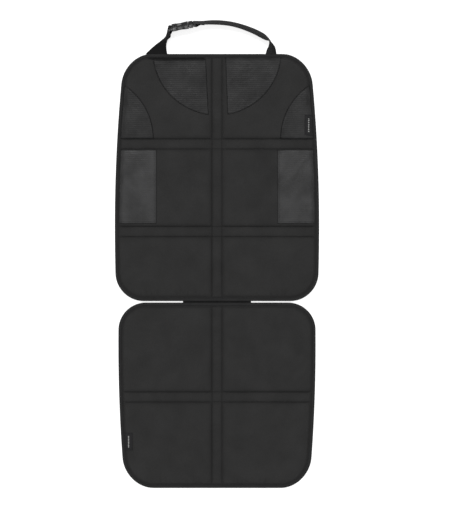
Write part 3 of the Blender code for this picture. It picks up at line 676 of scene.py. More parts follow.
def puff(thing, sewn, settings, frames=20):
    """Lets the cover swell between its seams as cloth, and caps how far a point moves."""
    start = mesh_points(thing)
    group = thing.vertex_groups.new(name="sewn")
    group.add([int(index) for index in np.nonzero(sewn)[0]], 1.0, "REPLACE")
    cloth = thing.modifiers.new("swelling", "CLOTH")
    cloth.settings.vertex_group_mass = group.name
    cloth.settings.quality = 5
    cloth.settings.mass = 0.2
    cloth.settings.tension_stiffness = 20
    cloth.settings.compression_stiffness = 20
    cloth.settings.shear_stiffness = 10
    cloth.settings.bending_stiffness = 0.4
    cloth.settings.use_pressure = True
    cloth.settings.uniform_pressure_force = settings.pressure
    cloth.settings.shrink_min = -settings.growth
    cloth.settings.effector_weights.gravity = 0
    cloth.collision_settings.use_collision = False
    cloth.collision_settings.use_self_collision = False
    cloth.point_cache.frame_start = 1
    cloth.point_cache.frame_end = frames
    scene = bpy.context.scene
    for number in range(1, frames + 1):
        scene.frame_set(number)
    select_only(thing)
    bpy.ops.object.modifier_apply(modifier=cloth.name)
    scene.frame_set(1)
    moved = mesh_points(thing) - start
    lengths = np.linalg.norm(moved, axis=1)
    capped = settings.most_swell * np.tanh(lengths / settings.most_swell)
    moved *= (capped / np.maximum(lengths, 1e-9))[:, None]
    thing.vertex_groups.clear()
    set_points(thing, start + moved)


def close_under(thing, pad):
    """Turns the quilted surface into a closed pad: down its rim, in under the border and across."""
    bm = bmesh.new()
    bm.from_mesh(thing.data)
    edges = [edge for edge in bm.edges if edge.is_boundary]
    rim = outline(pad, RIM_INSET, 6 * OUTLINE_POINTS)
    foam_edge = outline(pad, FOAM_INSET, 6 * OUTLINE_POINTS)
    for goes_in, height in ((False, COVER_BOTTOM), (True, COVER_BOTTOM), (False, FOAM_BOTTOM)):
        made = bmesh.ops.extrude_edge_only(bm, edges=edges)["geom"]
        edges = [item for item in made if isinstance(item, bmesh.types.BMEdge)]
        for vert in {vert for edge in edges for vert in edge.verts}:
            if goes_in:
                vert.co.x, vert.co.y = foam_edge[nearest(rim, (vert.co.x, vert.co.y))]
            vert.co.z = height
    bmesh.ops.holes_fill(bm, edges=edges, sides=0)
    bmesh.ops.recalc_face_normals(bm, faces=bm.faces)
    bm.to_mesh(thing.data)
    bm.free()
    thing.data.shade_smooth()


# What the needle and handling leave: heights and, after them, how far they reach
SEAM_DEPTH, SEAM_REACH = 0.75 * MM, 1.15 * MM
WRINKLE_HEIGHT, WRINKLE_LENGTH = 0.7 * MM, 7.0 * MM
GATHER_HEIGHT, GATHER_LENGTH, GATHER_REACH = 0.55 * MM, 9.0 * MM, 16.0 * MM
PUCKER_HEIGHT, PUCKER_LENGTH = 1.1 * MM, 6.5 * MM
WAVE_HEIGHT, WAVE_LENGTH = 0.5 * MM, 55.0 * MM
# Wrinkles and gathers run long one way, because the noise is scaled by this share along it
DRAWN_OUT = 0.22
# The work fades out over this distance from the border, and the puckers lie along the pad's low end
BORDER_FADE = 4.0 * MM
PUCKER_ROW, PUCKER_ROW_SPREAD = 18.0 * MM, 9.0 * MM
# Painted shade in a seam, beside it, at the border, in a pucker and in the pocket's mouth, and how much it
# varies along the seams
SEAM_SHADE, BESIDE_SHADE, UNEVEN_SHADE = 0.32, 0.15, 0.12
BORDER_SHADE, PUCKER_SHADE, POCKET_SHADE = 0.3, 0.3, 0.85


def work_seams(plan, height, distance, lengthwise, border):
    """Works the seams of one direction into the height, and gives the painted shade in and beside them.

    The needle draws the cloth in. It wrinkles inside a channel and gathers beside it."""
    inner = ramp(border, BORDER_FADE)
    uneven = UNEVEN_SHADE * ripples(plan, 45 * MM, 12.0)
    seam = np.abs(distance)
    height -= np.where(border > -1 * MM, SEAM_DEPTH * bell(seam, SEAM_REACH), 0)
    stretch = (DRAWN_OUT, 1.0) if lengthwise else (1.0, DRAWN_OUT)
    channel = ramp(-distance, 4 * MM) * inner
    wrinkles = ripples(plan, WRINKLE_LENGTH, 2.0 + lengthwise, stretch, channel > 0)
    height += WRINKLE_HEIGHT * wrinkles * channel
    outside = (distance > 0) & (distance < GATHER_REACH)
    gathers = ripples(plan, GATHER_LENGTH, 7.0 + lengthwise, stretch[::-1], outside)
    fading = ramp(distance, 2 * MM) * np.exp(-distance / (7 * MM)) * inner
    height += GATHER_HEIGHT * gathers * fading
    # Painted shade in the seam and beside it
    in_seam = (SEAM_SHADE + uneven) * bell(seam, 1.5 * MM)
    beside_seam = (BESIDE_SHADE + uneven) * bell(seam, np.where(distance > 0, 8.0, 5.0) * MM)
    return np.maximum(in_seam, beside_seam)


def open_pocket(plan, height):
    """Sinks the cloth below the left yoke's open edge, and gives the painted shadow there."""
    below = BACK.high - plan[:, 1]
    mouth = ramp(plan[:, 0] - POCKET_LEFT, 12 * MM) * ramp(POCKET_RIGHT - plan[:, 0], 4 * MM)
    sag = mouth * ramp(POCKET_SAG_END - below, 8 * MM) * (below > BINDING_WIDTH)
    sunk = height * (1 - sag) + np.minimum(height, COVER_TOP) * sag
    height[:] = np.where(sag > 0, sunk, height)
    return POCKET_SHADE * mouth * ramp(POCKET_SHADE_END - below, 3 * MM)


def work_surface(thing, pad):
    """Adds what the needle and handling leave, and stores the painted shade at each point."""
    points = mesh_points(thing)
    plan, height = points[:, :2], points[:, 2]
    border = inside(plan, outline(pad, PILLOW_INSET, 240))
    inner = ramp(border, BORDER_FADE)
    across = channel_distance(plan[:, 0], (0.0,))
    along = channel_distance(plan[:, 1], pad.channels)
    # Painted shade along the pillows' border by the binding
    darkness = BORDER_SHADE * bell(border, 2.2 * MM)
    darkness = np.maximum(darkness, work_seams(plan, height, across, 1, border))
    darkness = np.maximum(darkness, work_seams(plan, height, along, 0, border))
    lowest = bell(plan[:, 1] - pad.low - PUCKER_ROW, PUCKER_ROW_SPREAD)
    puckers = ripples(plan, PUCKER_LENGTH, 4.0, (1.0, 0.3), lowest > 0.02) * lowest * inner
    height += PUCKER_HEIGHT * puckers
    # Painted shade in the puckers
    darkness = np.maximum(darkness, PUCKER_SHADE * puckers)
    for start, end, rise, spread in FOLDS[pad.name]:
        height += fold(plan, np.array(start) * MM, np.array(end) * MM, rise * MM, spread * MM) * inner
    from_seams = np.minimum(np.minimum(across, along), border)
    height += WAVE_HEIGHT * ripples(plan, WAVE_LENGTH, 9.0) * ramp(from_seams, 12 * MM)
    if pad is BACK:
        darkness = np.maximum(darkness, open_pocket(plan, height))
    set_points(thing, points)
    # The stored darkness is painted shade
    store(thing, "painted_shading", darkness)


def store(thing, name, values):
    """Keeps one value a point for the material to read."""
    layer = thing.data.attributes.new(name, "FLOAT", "POINT")
    layer.data.foreach_set("value", np.asarray(values, dtype=np.float32))


def fold(plan, start, end, height, spread):
    """A soft ridge in the cloth along a short line, which fades at both ends."""
    line = end - start
    length = np.linalg.norm(line)
    line = line / length
    offset = plan - start
    share = ramp(offset @ line, length)
    side = offset @ np.array((-line[1], line[0]))
    return height * bell(side, spread) * np.clip(np.sin(math.pi * share), 0, 1)


# Loose folds seen on each pad: both ends, height and half width, in millimetres
FOLDS = {
    "back": (
        ((-150, 560), (-118, 610), 0.9, 7),
        ((60, 500), (105, 560), 0.6, 12),
        ((-205, 455), (-150, 560), 0.8, 9),
        ((160, 430), (225, 520), 1.0, 8),
        ((150, 480), (215, 565), 0.9, 7),
        ((-90, 700), (-60, 770), 0.7, 9),
        ((70, 690), (120, 760), 0.7, 9),
        ((25, 395), (60, 470), 0.5, 9),
    ),
    "seat": (
        ((150, 40), (222, 108), 1.5, 7),
        ((165, 20), (226, 75), 1.4, 5),
        ((-222, 60), (-165, 15), 1.2, 7),
        ((-215, 35), (-150, 18), 0.7, 6),
        ((185, 55), (228, 140), 1.0, 5),
        ((40, 120), (110, 180), 0.5, 14),
        ((-110, -120), (-50, -60), 0.6, 13),
        ((60, -170), (120, -60), 0.7, 12),
        ((100, -205), (175, -120), 0.7, 9),
    ),
}


def make_pad(context, pad):
    """The filled, quilted body of one pad."""
    settings = context.scene.protector_cloth
    plan, faces = quilted_grid(pad, settings.grid_step)
    rise = pillow_height(plan, pad)
    cloth = material("quilted_oxford_cloth", cover_material, settings)
    across = channel_distance(plan[:, 0], (0.0,))
    from_channel = np.minimum(across, channel_distance(plan[:, 1], pad.channels))
    border = inside(plan, outline(pad, PILLOW_INSET, 240))
    crown = CHANNEL_CROWN * (1 - (1 + from_channel / CHANNEL_HALF_WIDTH) ** 2)
    crown = np.where((from_channel < 0) & (border > 0), np.clip(crown, 0, None), 0)
    height = COVER_TOP + np.where(rise > 0, UNFILLED_SHARE * rise, 0) + crown * ramp(border, 6 * MM)
    points = np.column_stack([plan, height])
    thing = piece_from(f"{pad.name}_pad", points, faces, cloth)
    sewn_down = (from_channel < 0.1 * MM) | (border < 0.3 * MM)
    puff(thing, sewn_down, settings)
    subdivide_smooth(thing)
    work_surface(thing, pad)
    close_under(thing, pad)
    finish_piece(thing, "plain_cloth", f"{pad.name}_cover", f"{pad.name}_foam")


class Surface:
    """Finds the height of a finished piece from above."""

    def __init__(self, name):
        thing = bpy.data.objects[name]
        mesh = thing.data
        self.tree = BVHTree.FromPolygons(
            [vert.co.copy() for vert in mesh.vertices], [tuple(face.vertices) for face in mesh.polygons]
        )

    def hit(self, x, y):
        place, normal, _, _ = self.tree.ray_cast(Vector((x, y, 0.1)), Vector((0, 0, -1)))
        if place is None:
            return COVER_TOP, Vector((0, 0, 1))
        return place.z, normal

    def heights(self, plan):
        return np.array([self.hit(x, y)[0] for x, y in plan])


# Widths of the two rings of faces along a patch's edge
EDGE_RINGS = (0.5 * MM, 0.7 * MM)


def clipped_grid(loop, step):
    """A grid inside a convex counter-clockwise loop, with two narrow rings along its edge."""
    low, high = loop.min(axis=0), loop.max(axis=0)
    size = high - low
    columns, rows = (math.ceil(length / step) for length in size)
    bm = bmesh.new()
    bmesh.ops.create_grid(bm, x_segments=columns, y_segments=rows, size=0.5)
    bmesh.ops.scale(bm, vec=(size[0] + step, size[1] + step, 1), verts=bm.verts)
    bmesh.ops.translate(bm, vec=(*(low + high) / 2, 0), verts=bm.verts)
    for index, here in enumerate(loop):
        edge = loop[(index + 1) % len(loop)] - here
        bmesh.ops.bisect_plane(
            bm, geom=[*bm.verts, *bm.edges, *bm.faces], plane_co=(*here, 0),
            plane_no=(edge[1], -edge[0], 0), clear_outer=True
        )
    bmesh.ops.remove_doubles(bm, verts=bm.verts, dist=0.15 * step)
    for thickness in EDGE_RINGS:
        bmesh.ops.inset_region(
            bm, faces=bm.faces, thickness=thickness, use_boundary=True, use_even_offset=True
        )
    bm.normal_update()
    return bm


# A patch's edge drops over this width to just above the pad, beside a hem made paler with painted highlight
TURNED_EDGE = 1.2 * MM
PATCH_GAP = 0.1 * MM
HEM_WIDTH = 2.4 * MM


def sewn_patch(name, loop, surface, thickness, step, cloth, shape=None, shade=None):
    """Cloth laid on a pad, whose turned edge drops to the surface.

    A shape adds height at plan points and a shade adds painted shade there."""
    bm = clipped_grid(loop, step)
    plan = np.array([(vert.co.x, vert.co.y) for vert in bm.verts])
    edge = inside(plan, loop)
    depth = ramp(edge, TURNED_EDGE)
    rounded = np.sqrt(1 - (1 - depth) ** 2)
    height = surface.heights(plan) + PATCH_GAP + (thickness - PATCH_GAP) * rounded
    if shape:
        height += shape(plan) * depth
    for vert, z in zip(bm.verts, height):
        vert.co.z = z
    mesh = bpy.data.meshes.new(name)
    bm.to_mesh(mesh)
    bm.free()
    mesh.shade_smooth()
    thing = link(name, mesh, cloth)
    # Painted shade where the turned edge meets the pad, and a painted highlight along the hem
    darkness = 0.3 * bell(edge, 0.9 * MM) - 0.2 * bell(edge - HEM_WIDTH, 1.1 * MM)
    if shade:
        extra = shade(plan)
        darkness = np.where(extra > 0.08, np.maximum(darkness, extra), darkness)
    # The stored darkness is painted shade, with a painted highlight along the hem
    store(thing, "painted_shading", darkness)
    apply_modifier(thing, "SOLIDIFY", thickness=thickness * 0.8, offset=-1.0)
    return thing


def arc_points(centre, radius, count=72):
    angles = np.linspace(0, 2 * math.pi, count, endpoint=False)
    return np.stack([np.cos(angles), np.sin(angles)], axis=1) * radius + centre


def clip_loop(loop, keep):
    """Cuts a convex loop with half planes, each a point and a direction that is kept."""
    for point, direction in keep:
        sides = (loop - point) @ np.asarray(direction)
        result = []
        for index in range(len(loop)):
            here, there = sides[index - 1], sides[index]
            if (here >= 0) != (there >= 0):
                step = loop[index] - loop[index - 1]
                result.append(loop[index - 1] + step * here / (here - there))
            if there >= 0:
                result.append(loop[index])
        loop = np.array(result)
    return loop


def clip_to_pad(loop, pad, inset):
    """Cuts a convex loop to the pad's outline."""
    edge = outline(pad, inset, 160)
    ahead = np.roll(edge, -1, axis=0) - edge
    return clip_loop(loop, [(here, (-step[1], step[0])) for here, step in zip(edge, ahead)])


# Zones of open cloth on the back pad
YOKE_RADIUS = 151.5 * MM
YOKE_CENTRE_ABOVE_TOP = 7.0 * MM
# Distance of each yoke's inner edge from the middle, at the top and this far below it
YOKE_INNER_EDGES = {-1: (27.0 * MM, 20.0 * MM), 1: (19.5 * MM, 25.0 * MM)}
YOKE_INNER_LENGTH = 145.0 * MM
SHOULDER_RADIUS = 150.0 * MM
SHOULDER_CENTRE_X = 298.5 * MM
PATCH_INNER_X = 142.5 * MM
PATCH_ABOVE_CHANNEL = 7.5 * MM
PATCH_BELOW_CHANNEL = 2.5 * MM
MESH_EDGE_INSET = 8.0 * MM
PATCH_EDGE_INSET = 10.2 * MM
# The left yoke hangs a little open below the binding
POCKET_EDGE = 12.5 * MM
POCKET_LEFT = -170.0 * MM
POCKET_RIGHT = -27.0 * MM
POCKET_SAG_END = 17.0 * MM
POCKET_SHADE_END = 15.0 * MM
# The ribbed cloth's thickness and the spacing of its points
OPEN_CLOTH_THICKNESS = 1.1 * MM
OPEN_CLOTH_STEP = 2.6 * MM


def open_cloth_zones():
    """Name and plan of each zone of open cloth."""
    lower, upper = BACK.channels
    seam = upper + CHANNEL_HALF_WIDTH
    zones = {}
    for side, word in ((-1, "left"), (1, "right")):
        circle = arc_points((0, BACK.high + YOKE_CENTRE_ABOVE_TOP), YOKE_RADIUS)
        near_top, near_low = YOKE_INNER_EDGES[side]
        inner = (np.array((side * near_top, BACK.high)), (side * YOKE_INNER_LENGTH, near_low - near_top))
        yoke = clip_to_pad(clip_loop(circle, [inner]), BACK, MESH_EDGE_INSET)
        if side < 0:
            yoke = clip_loop(yoke, [(np.array((0.0, BACK.high - POCKET_EDGE)), (0.0, -1.0))])
        zones[f"yoke_mesh_{word}"] = yoke
        circle = arc_points((side * SHOULDER_CENTRE_X, seam), SHOULDER_RADIUS, 96)
        above = (np.array((0.0, seam + 1.0 * MM)), (0.0, 1.0))
        zones[f"shoulder_mesh_{word}"] = clip_to_pad(clip_loop(circle, [above]), BACK, MESH_EDGE_INSET)
        low = lower + CHANNEL_HALF_WIDTH + PATCH_ABOVE_CHANNEL
        high = upper - CHANNEL_HALF_WIDTH - PATCH_BELOW_CHANNEL
        ends = sorted((side * PATCH_INNER_X, side * BACK.half_width))
        square = np.array([(ends[0], low), (ends[1], low), (ends[1], high), (ends[0], high)])
        zones[f"side_patch_{word}"] = clip_to_pad(square, BACK, PATCH_EDGE_INSET)
    return zones


def merged(loop, least=0.4 * MM):
    """Drops points that nearly coincide with the one before."""
    steps = np.linalg.norm(loop - np.roll(loop, 1, axis=0), axis=1)
    return loop[steps > least]


def loose_height(plan):
    """Open cloth lies a little uneven on the pad."""
    return 0.35 * MM * ripples(plan, 26 * MM, 3.7)


def pocket_shade(plan):
    """Painted shadow below the binding along the left yoke's open edge, deeper to the left."""
    below = BACK.high - plan[:, 1] - POCKET_EDGE
    strength = 0.55 + 0.15 * ripples(plan, 60 * MM, 6.0, (1.0, 0.0))
    outward = ramp(-95 * MM - plan[:, 0], 60 * MM)
    return (strength + 0.2 * outward) * np.exp(-below / ((6 + 11 * outward) * MM))


def side_shade(plan):
    """Painted shade along the binding at a side patch's outer edge."""
    limit = half_width_at(BACK, plan[:, 1]) - PATCH_EDGE_INSET
    uneven = 0.34 + 0.14 * ripples(plan, 38 * MM, 8.0, (0.0, 1.0))
    return uneven * np.exp(-np.clip(limit - np.abs(plan[:, 0]), 0, None) / (6 * MM))


def make_open_cloth(context):
    """Six pieces of ribbed mesh on the back pad."""
    settings = context.scene.protector_cloth
    names = ("ribbed_mesh_cloth", "ribbed_patch_cloth")
    top = material(names[0], mesh_material, names[0], settings.mesh_colour, 0.2)
    # The side patches' lighter colour is painted sheen
    side = material(names[1], mesh_material, names[1], settings.patch_sheen_colour, 0.3)
    surface = Surface("back_pad")
    shades = {"yoke_mesh_left": pocket_shade, "side_patch_left": side_shade, "side_patch_right": side_shade}
    for name, loop in open_cloth_zones().items():
        cloth = side if name.startswith("side_patch") else top
        thing = sewn_patch(
            name + "_cloth", merged(loop), surface, OPEN_CLOTH_THICKNESS, OPEN_CLOTH_STEP, cloth,
            loose_height, shades.get(name)
        )
        finish_piece(thing, "open_cloth", name)


def make_underside(context, pad):
    """The coated cloth below, with rows of low grip dots that the pad stands on."""
    settings = context.scene.protector_cloth
    cloth = material("coated_underside_cloth", underside_material, settings)
    count = 320
    flange_low, flange_high = FLANGE_BOTTOM + 0.2 * MM, FLANGE_BOTTOM + 1.0 * MM
    inner_top = UNDERSIDE + 0.5 * MM
    section = [
        (FOAM_INSET, inner_top),
        (BINDING_WIDTH + 0.4 * MM, inner_top),
        (BINDING_WIDTH - 0.4 * MM, flange_high),
        (FLANGE_INSET, flange_high),
        (FLANGE_INSET, flange_low),
        (BINDING_WIDTH - 0.4 * MM, flange_low),
        (BINDING_WIDTH + 0.6 * MM, UNDERSIDE),
        (FOAM_INSET, UNDERSIDE),
    ]
    rings = [np.column_stack([outline(pad, inset, count), np.full(count, z)]) for inset, z in section]
    faces = tube_faces(len(section), count)
    sheet = piece_from(f"{pad.name}_underside", np.vstack(rings), faces, cloth)
    face_outwards(sheet)
    select_only(sheet)
    bpy.ops.object.shade_smooth_by_angle(angle=math.radians(35))
    finish_piece(sheet, "coated_cloth", f"{pad.name}_backing")
    dots = grip_dots(pad, cloth)
    finish_piece(dots, "coated_cloth")


DOT_PITCH = 15.0 * MM
DOT_ROW_PITCH = 12.99 * MM
DOT_RADIUS = 2.4 * MM
DOT_INSET = BINDING_WIDTH + 5.0 * MM


def grip_dots(pad, cloth):
    """Low domes in staggered rows, each copied from one."""
    middle = UNDERSIDE + 0.1 * MM
    bpy.ops.object.select_all(action="DESELECT")
    bpy.ops.mesh.primitive_uv_sphere_add(segments=8, ring_count=6, radius=DOT_RADIUS)
    dome = bpy.context.object
    dome.scale = (1.0, 1.0, middle / DOT_RADIUS)
    bpy.ops.object.transform_apply(scale=True)
    shape, shape_faces = pattern_from(dome)
    rows = int((pad.high - pad.low) / DOT_ROW_PITCH) + 1
    columns = int(2 * pad.half_width / DOT_PITCH) + 2
    places = np.array([
        (-pad.half_width + (column + 0.5 * (row % 2)) * DOT_PITCH, pad.low + row * DOT_ROW_PITCH)
        for row in range(rows) for column in range(columns)
    ])
    places = places[inside(places, outline(pad, DOT_INSET, 240)) > 0]
    frames = [Matrix.Translation((x, y, middle)) for x, y in places]
    return copies(f"{pad.name}_grip_dots", shape, shape_faces, frames, cloth)


def pattern_from(thing):
    """Points and faces of a modelled piece, which is then removed."""
    shape = mesh_points(thing)
    faces = [list(face.vertices) for face in thing.data.polygons]
    bpy.data.objects.remove(thing)
    return shape, faces


def copies(name, shape, shape_faces, frames, cloth):
    """One mesh with a copy of the shape in each frame."""
    points, faces = [], []
    for number, place in enumerate(frames):
        points.append(shape @ np.array(place.to_3x3()).T + np.array(place.translation))
        faces += [[index + number * len(shape) for index in face] for face in shape_faces]
    return piece_from(name, np.vstack(points), faces, cloth)


def ring_faces(rings, count, closed):
    """Quads between rings that follow one another, each with this many points."""
    faces = []
    for ring in range(rings if closed else rings - 1):
        low, high = ring * count, (ring + 1) % rings * count
        for index in range(count):
            after = (index + 1) % count
            faces.append([low + index, low + after, high + after, high + index])
    return faces


def tube_faces(rings, count):
    """The same quads from the first ring to the last, and a face that closes each end."""
    last = (rings - 1) * count
    ends = [list(range(count - 1, -1, -1)), list(range(last, last + count))]
    return ring_faces(rings, count, closed=False) + ends


def face_outwards(thing):
    select_only(thing)
    bpy.ops.object.mode_set(mode="EDIT")
    bpy.ops.mesh.select_all(action="SELECT")
    bpy.ops.mesh.normals_make_consistent(inside=False)
    bpy.ops.object.mode_set(mode="OBJECT")


# Inset and height of each point round the folded tape, in millimetres
TAPE_SECTION = (
    (8.5, 3.95), (8.45, 4.55), (8.0, 4.85), (7.4, 4.62), (7.0, 4.5), (6.6, 4.62), (6.0, 4.95),
    (4.6, 5.1), (2.8, 5.02), (1.3, 4.7), (0.45, 4.0), (0.0, 2.9), (0.0, 2.0), (0.4, 1.0),
    (1.3, 0.3), (2.8, 0.0), (6.0, 0.0), (7.0, 0.15), (8.0, 0.0), (8.5, 0.3), (8.4, 1.0),
    (2.2, 1.0), (1.1, 2.0), (1.1, 3.0), (2.2, 3.85), (8.3, 3.85),
)


# How far the tape's inner edge sways, in millimetres, and its top swells
TAPE_SWAY = 0.35
TAPE_SWELL = 0.16 * MM


def make_binding(context, pad):
    """Tape folded round the edge, drawn in along its row of stitches."""
    settings = context.scene.protector_cloth
    tape = material("twill_binding_tape", tape_material, settings)
    count = 720
    rings, uvs = [], []
    edge = outline(pad, 0.0, count)
    sway = ripples(edge, 38 * MM, 1.3)
    swell = ripples(edge, 14 * MM, 5.1)
    lengths = distances_along(edge)
    across = 0.0
    for index, (inset, z) in enumerate(TAPE_SECTION):
        ring = outline(pad, inset * MM, count)
        inner = np.clip((inset - 2) / 6, 0, 1) if z > 2 else 0.0
        toward = outline(pad, (inset + 1) * MM, count) - ring
        ring = ring + toward * (TAPE_SWAY * inner * sway)[:, None]
        raised = z * MM + (TAPE_SWELL * swell if z > 4.2 else 0.0)
        rings.append(np.column_stack([ring, np.broadcast_to(raised, count)]))
        if index:
            across += math.dist(TAPE_SECTION[index - 1], TAPE_SECTION[index]) * MM
        uvs.append(np.column_stack([lengths, np.full(count, across)]))
    faces = ring_faces(len(TAPE_SECTION), count, closed=True)
    thing = piece_from(f"{pad.name}_edge_tape", np.vstack(rings), faces, tape, np.vstack(uvs))
    face_outwards(thing)
    finish_piece(thing, "binding_tape", f"{pad.name}_binding")


# How far a stitch's middle stands above plain cloth or tape
STITCH_LIFT = 0.05 * MM


def stitch_shape(settings):
    """One stitch: a slim rounded bead of thread along X."""
    bpy.ops.object.select_all(action="DESELECT")
    bpy.ops.mesh.primitive_uv_sphere_add(segments=6, ring_count=4, radius=1.0)
    bead = bpy.context.object
    bpy.ops.object.mode_set(mode="EDIT")
    bpy.ops.mesh.select_all(action="SELECT")
    bpy.ops.transform.rotate(value=math.pi / 2, orient_axis="Y", center_override=(0, 0, 0))
    bpy.ops.object.mode_set(mode="OBJECT")
    bead.scale = (0.44 * settings.stitch, settings.thread, settings.thread * 0.8)
    bpy.ops.object.transform_apply(scale=True)
    return pattern_from(bead)


def seam_frames(path, settings, surface, closed=False, lift=0.0):
    """A frame for each stitch along a plan path, dropped onto the surface."""
    path = np.asarray(path)
    line = np.vstack([path, path[:1]]) if closed else path
    total = np.sum(np.linalg.norm(np.diff(line, axis=0), axis=1))
    count = max(int(total / settings.stitch), 2)
    marks = resampled(path, count + (0 if closed else 1), closed)
    if closed:
        marks = np.vstack([marks, marks[:1]])
    marks = np.column_stack([marks, surface.heights(marks) + lift])
    frames = []
    for start, end in zip(marks, marks[1:]):
        along = Vector(end - start).normalized()
        side = Vector((0, 0, 1)).cross(along).normalized()
        up = along.cross(side)
        turn = Matrix((along, side, up)).transposed().to_4x4()
        frames.append(Matrix.Translation(Vector((start + end) / 2)) @ turn)
    return frames


def straight(start, end):
    return np.linspace(start, end, 60)


def pad_seams(pad):
    """Plan paths of both seams of each channel."""
    limit = outline(pad, BINDING_WIDTH + 0.5 * MM, 240)
    paths = []
    for side in (-1, 1):
        x = side * CHANNEL_HALF_WIDTH
        paths.append(straight((x, pad.low), (x, pad.high)))
        for channel in pad.channels:
            y = channel + side * CHANNEL_HALF_WIDTH
            paths.append(straight((-pad.half_width, y), (pad.half_width, y)))
    return [path[inside(path, limit) > 0] for path in paths]


def make_stitching(context, pad):
    """Rows of stitches along the channels and round the binding, and along the mesh on the back pad."""
    settings = context.scene.protector_cloth
    thread = material("twisted_sewing_thread", thread_material, settings)
    surface = Surface(f"{pad.name}_pad")
    frames = []
    for path in pad_seams(pad):
        frames += seam_frames(path, settings, surface, lift=STITCH_LIFT)
    tape = Surface(f"{pad.name}_edge_tape")
    edge = outline(pad, BINDING_SEAM_INSET, 480)
    frames += seam_frames(edge, settings, tape, closed=True, lift=STITCH_LIFT)
    if pad is BACK:
        for name, loop in open_cloth_zones().items():
            cloth = Surface(name + "_cloth")
            for path in mesh_seams(name, loop):
                frames += seam_frames(path, settings, cloth)
    shape, faces = stitch_shape(settings)
    thing = copies(f"{pad.name}_stitching", shape, faces, frames, thread)
    finish_piece(thing, "plain_cloth")


# How far inside the open cloth's edges its stitches run
HEM_SEAM = 4.5 * MM
LOW_HEM_SEAM = 3.6 * MM
ARC_SEAM = 1.8 * MM


def mesh_seams(name, loop):
    """Plan paths of the rows that hold one zone of open cloth, a little inside its free edges."""
    side = math.copysign(1, loop[:, 0].mean())
    if name.startswith("side_patch"):
        low, high = loop[:, 1].min(), loop[:, 1].max()
        inner, outer = side * (PATCH_INNER_X + HEM_SEAM), side * (np.abs(loop[:, 0]).max() - 3 * MM)
        return [
            straight((inner, high - 1 * MM), (inner, low + 1 * MM)),
            straight((inner, low + LOW_HEM_SEAM), (outer, low + LOW_HEM_SEAM)),
        ]
    if name.startswith("yoke"):
        middle, radius = (0.0, BACK.high + YOKE_CENTRE_ABOVE_TOP), YOKE_RADIUS
    else:
        middle = (side * SHOULDER_CENTRE_X, BACK.channels[1] + CHANNEL_HALF_WIDTH)
        radius = SHOULDER_RADIUS
    circle = arc_points(middle, radius - ARC_SEAM, 720)
    close = circle[inside(circle, loop) > 1.0 * MM]
    angles = np.arctan2(close[:, 1] - middle[1], close[:, 0] - middle[0])
    if middle[0] > 0:
        angles = np.mod(angles, 2 * math.pi)
    return [close[np.argsort(angles)]]


BRIDGE_THICKNESS = 1.0 * MM
BRIDGE_SAG = 0.7 * MM


def make_bridge(context):
    """The strip across the crease, which sags a little between the pads."""
    settings = context.scene.protector_cloth
    cloth = material("crease_cloth", dense_material, "crease_cloth", settings.crease_colour)
    low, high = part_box("bridge_strip")
    stations = []
    for share in np.linspace(0, 1, 25):
        y = low.y + (high.y - low.y) * share
        z = SEAM_Z - BRIDGE_SAG * bell(share - 0.5, 0.12)
        stations.append((low.x, y, z, high.x, y, z))
    thing = ribbon(
        "bridge_cloth", np.array(stations), BRIDGE_THICKNESS, cloth, columns=64, wave=0.25 * MM
    )
    finish_piece(thing, "plain_cloth", "bridge_strip")


# Height of a band's ribs as a share of its thickness, their spread, and the length of its waves
RIB_SHARE = 0.18
RIB_SPREAD = 0.8 * MM
RIBBON_WAVELENGTH = 16.0 * MM


def ribbon(name, stations, thickness, cloth, columns=12, wave=0.0, edge=0.35, ribs=(), cups=None):
    """A band between two edges, given as six numbers a station, with a closed rounded section.

    The edge is that share of the thickness, ribs lie that far from each edge, and cups say how
    far the middle bows out at each station."""
    left, right = stations[:, :3], stations[:, 3:]
    middle = (left + right) / 2
    heading = np.gradient(middle, axis=0)
    across = right - left
    normal = np.cross(heading, across)
    normal /= np.linalg.norm(normal, axis=1)[:, None]
    lengths = distances_along(middle)
    shares = (1 - np.cos(np.linspace(0, math.pi, columns + 1))) / 2
    shares = 0.45 * shares + 0.55 * np.linspace(0, 1, columns + 1)
    widths = np.linalg.norm(across, axis=1)
    points, uvs = [], []
    for row in range(len(stations)):
        for face in (1, -1):
            order = shares if face > 0 else shares[::-1]
            for share in order:
                from_edge = min(share, 1 - share) * widths[row]
                body = math.sqrt(1 - (1 - min(from_edge / (1.2 * thickness), 1)) ** 2)
                half = thickness / 2 * (edge + (1 - edge) * body)
                half += sum(RIB_SHARE * thickness * bell(from_edge - rib, RIB_SPREAD) for rib in ribs)
                place = left[row] + across[row] * share + normal[row] * half * face
                if cups is not None:
                    place = place + normal[row] * cups[row] * (1 - (2 * share - 1) ** 2)
                if wave:
                    place = place + normal[row] * wave * ripple(place, RIBBON_WAVELENGTH, 2.2)
                points.append(place)
                uvs.append((lengths[row], share * widths[row]))
    faces = tube_faces(len(stations), 2 * (columns + 1))
    thing = piece_from(name, points, faces, cloth, uvs)
    face_outwards(thing)
    return thing


LABEL_THICKNESS = 0.8 * MM
LABEL_STEP = 1.6 * MM
# The sewn side reaches this far under the binding, and the free side lifts a little
LABEL_TUCK = 1.0 * MM
LABEL_FREE_WIDTH = 9.0 * MM
LABEL_LIFT = 0.8 * MM
LABEL_BARS = 8
# Width, length and height of a bar
BAR_SIZE = (2.6 * MM, 2.2 * MM, 0.2 * MM)


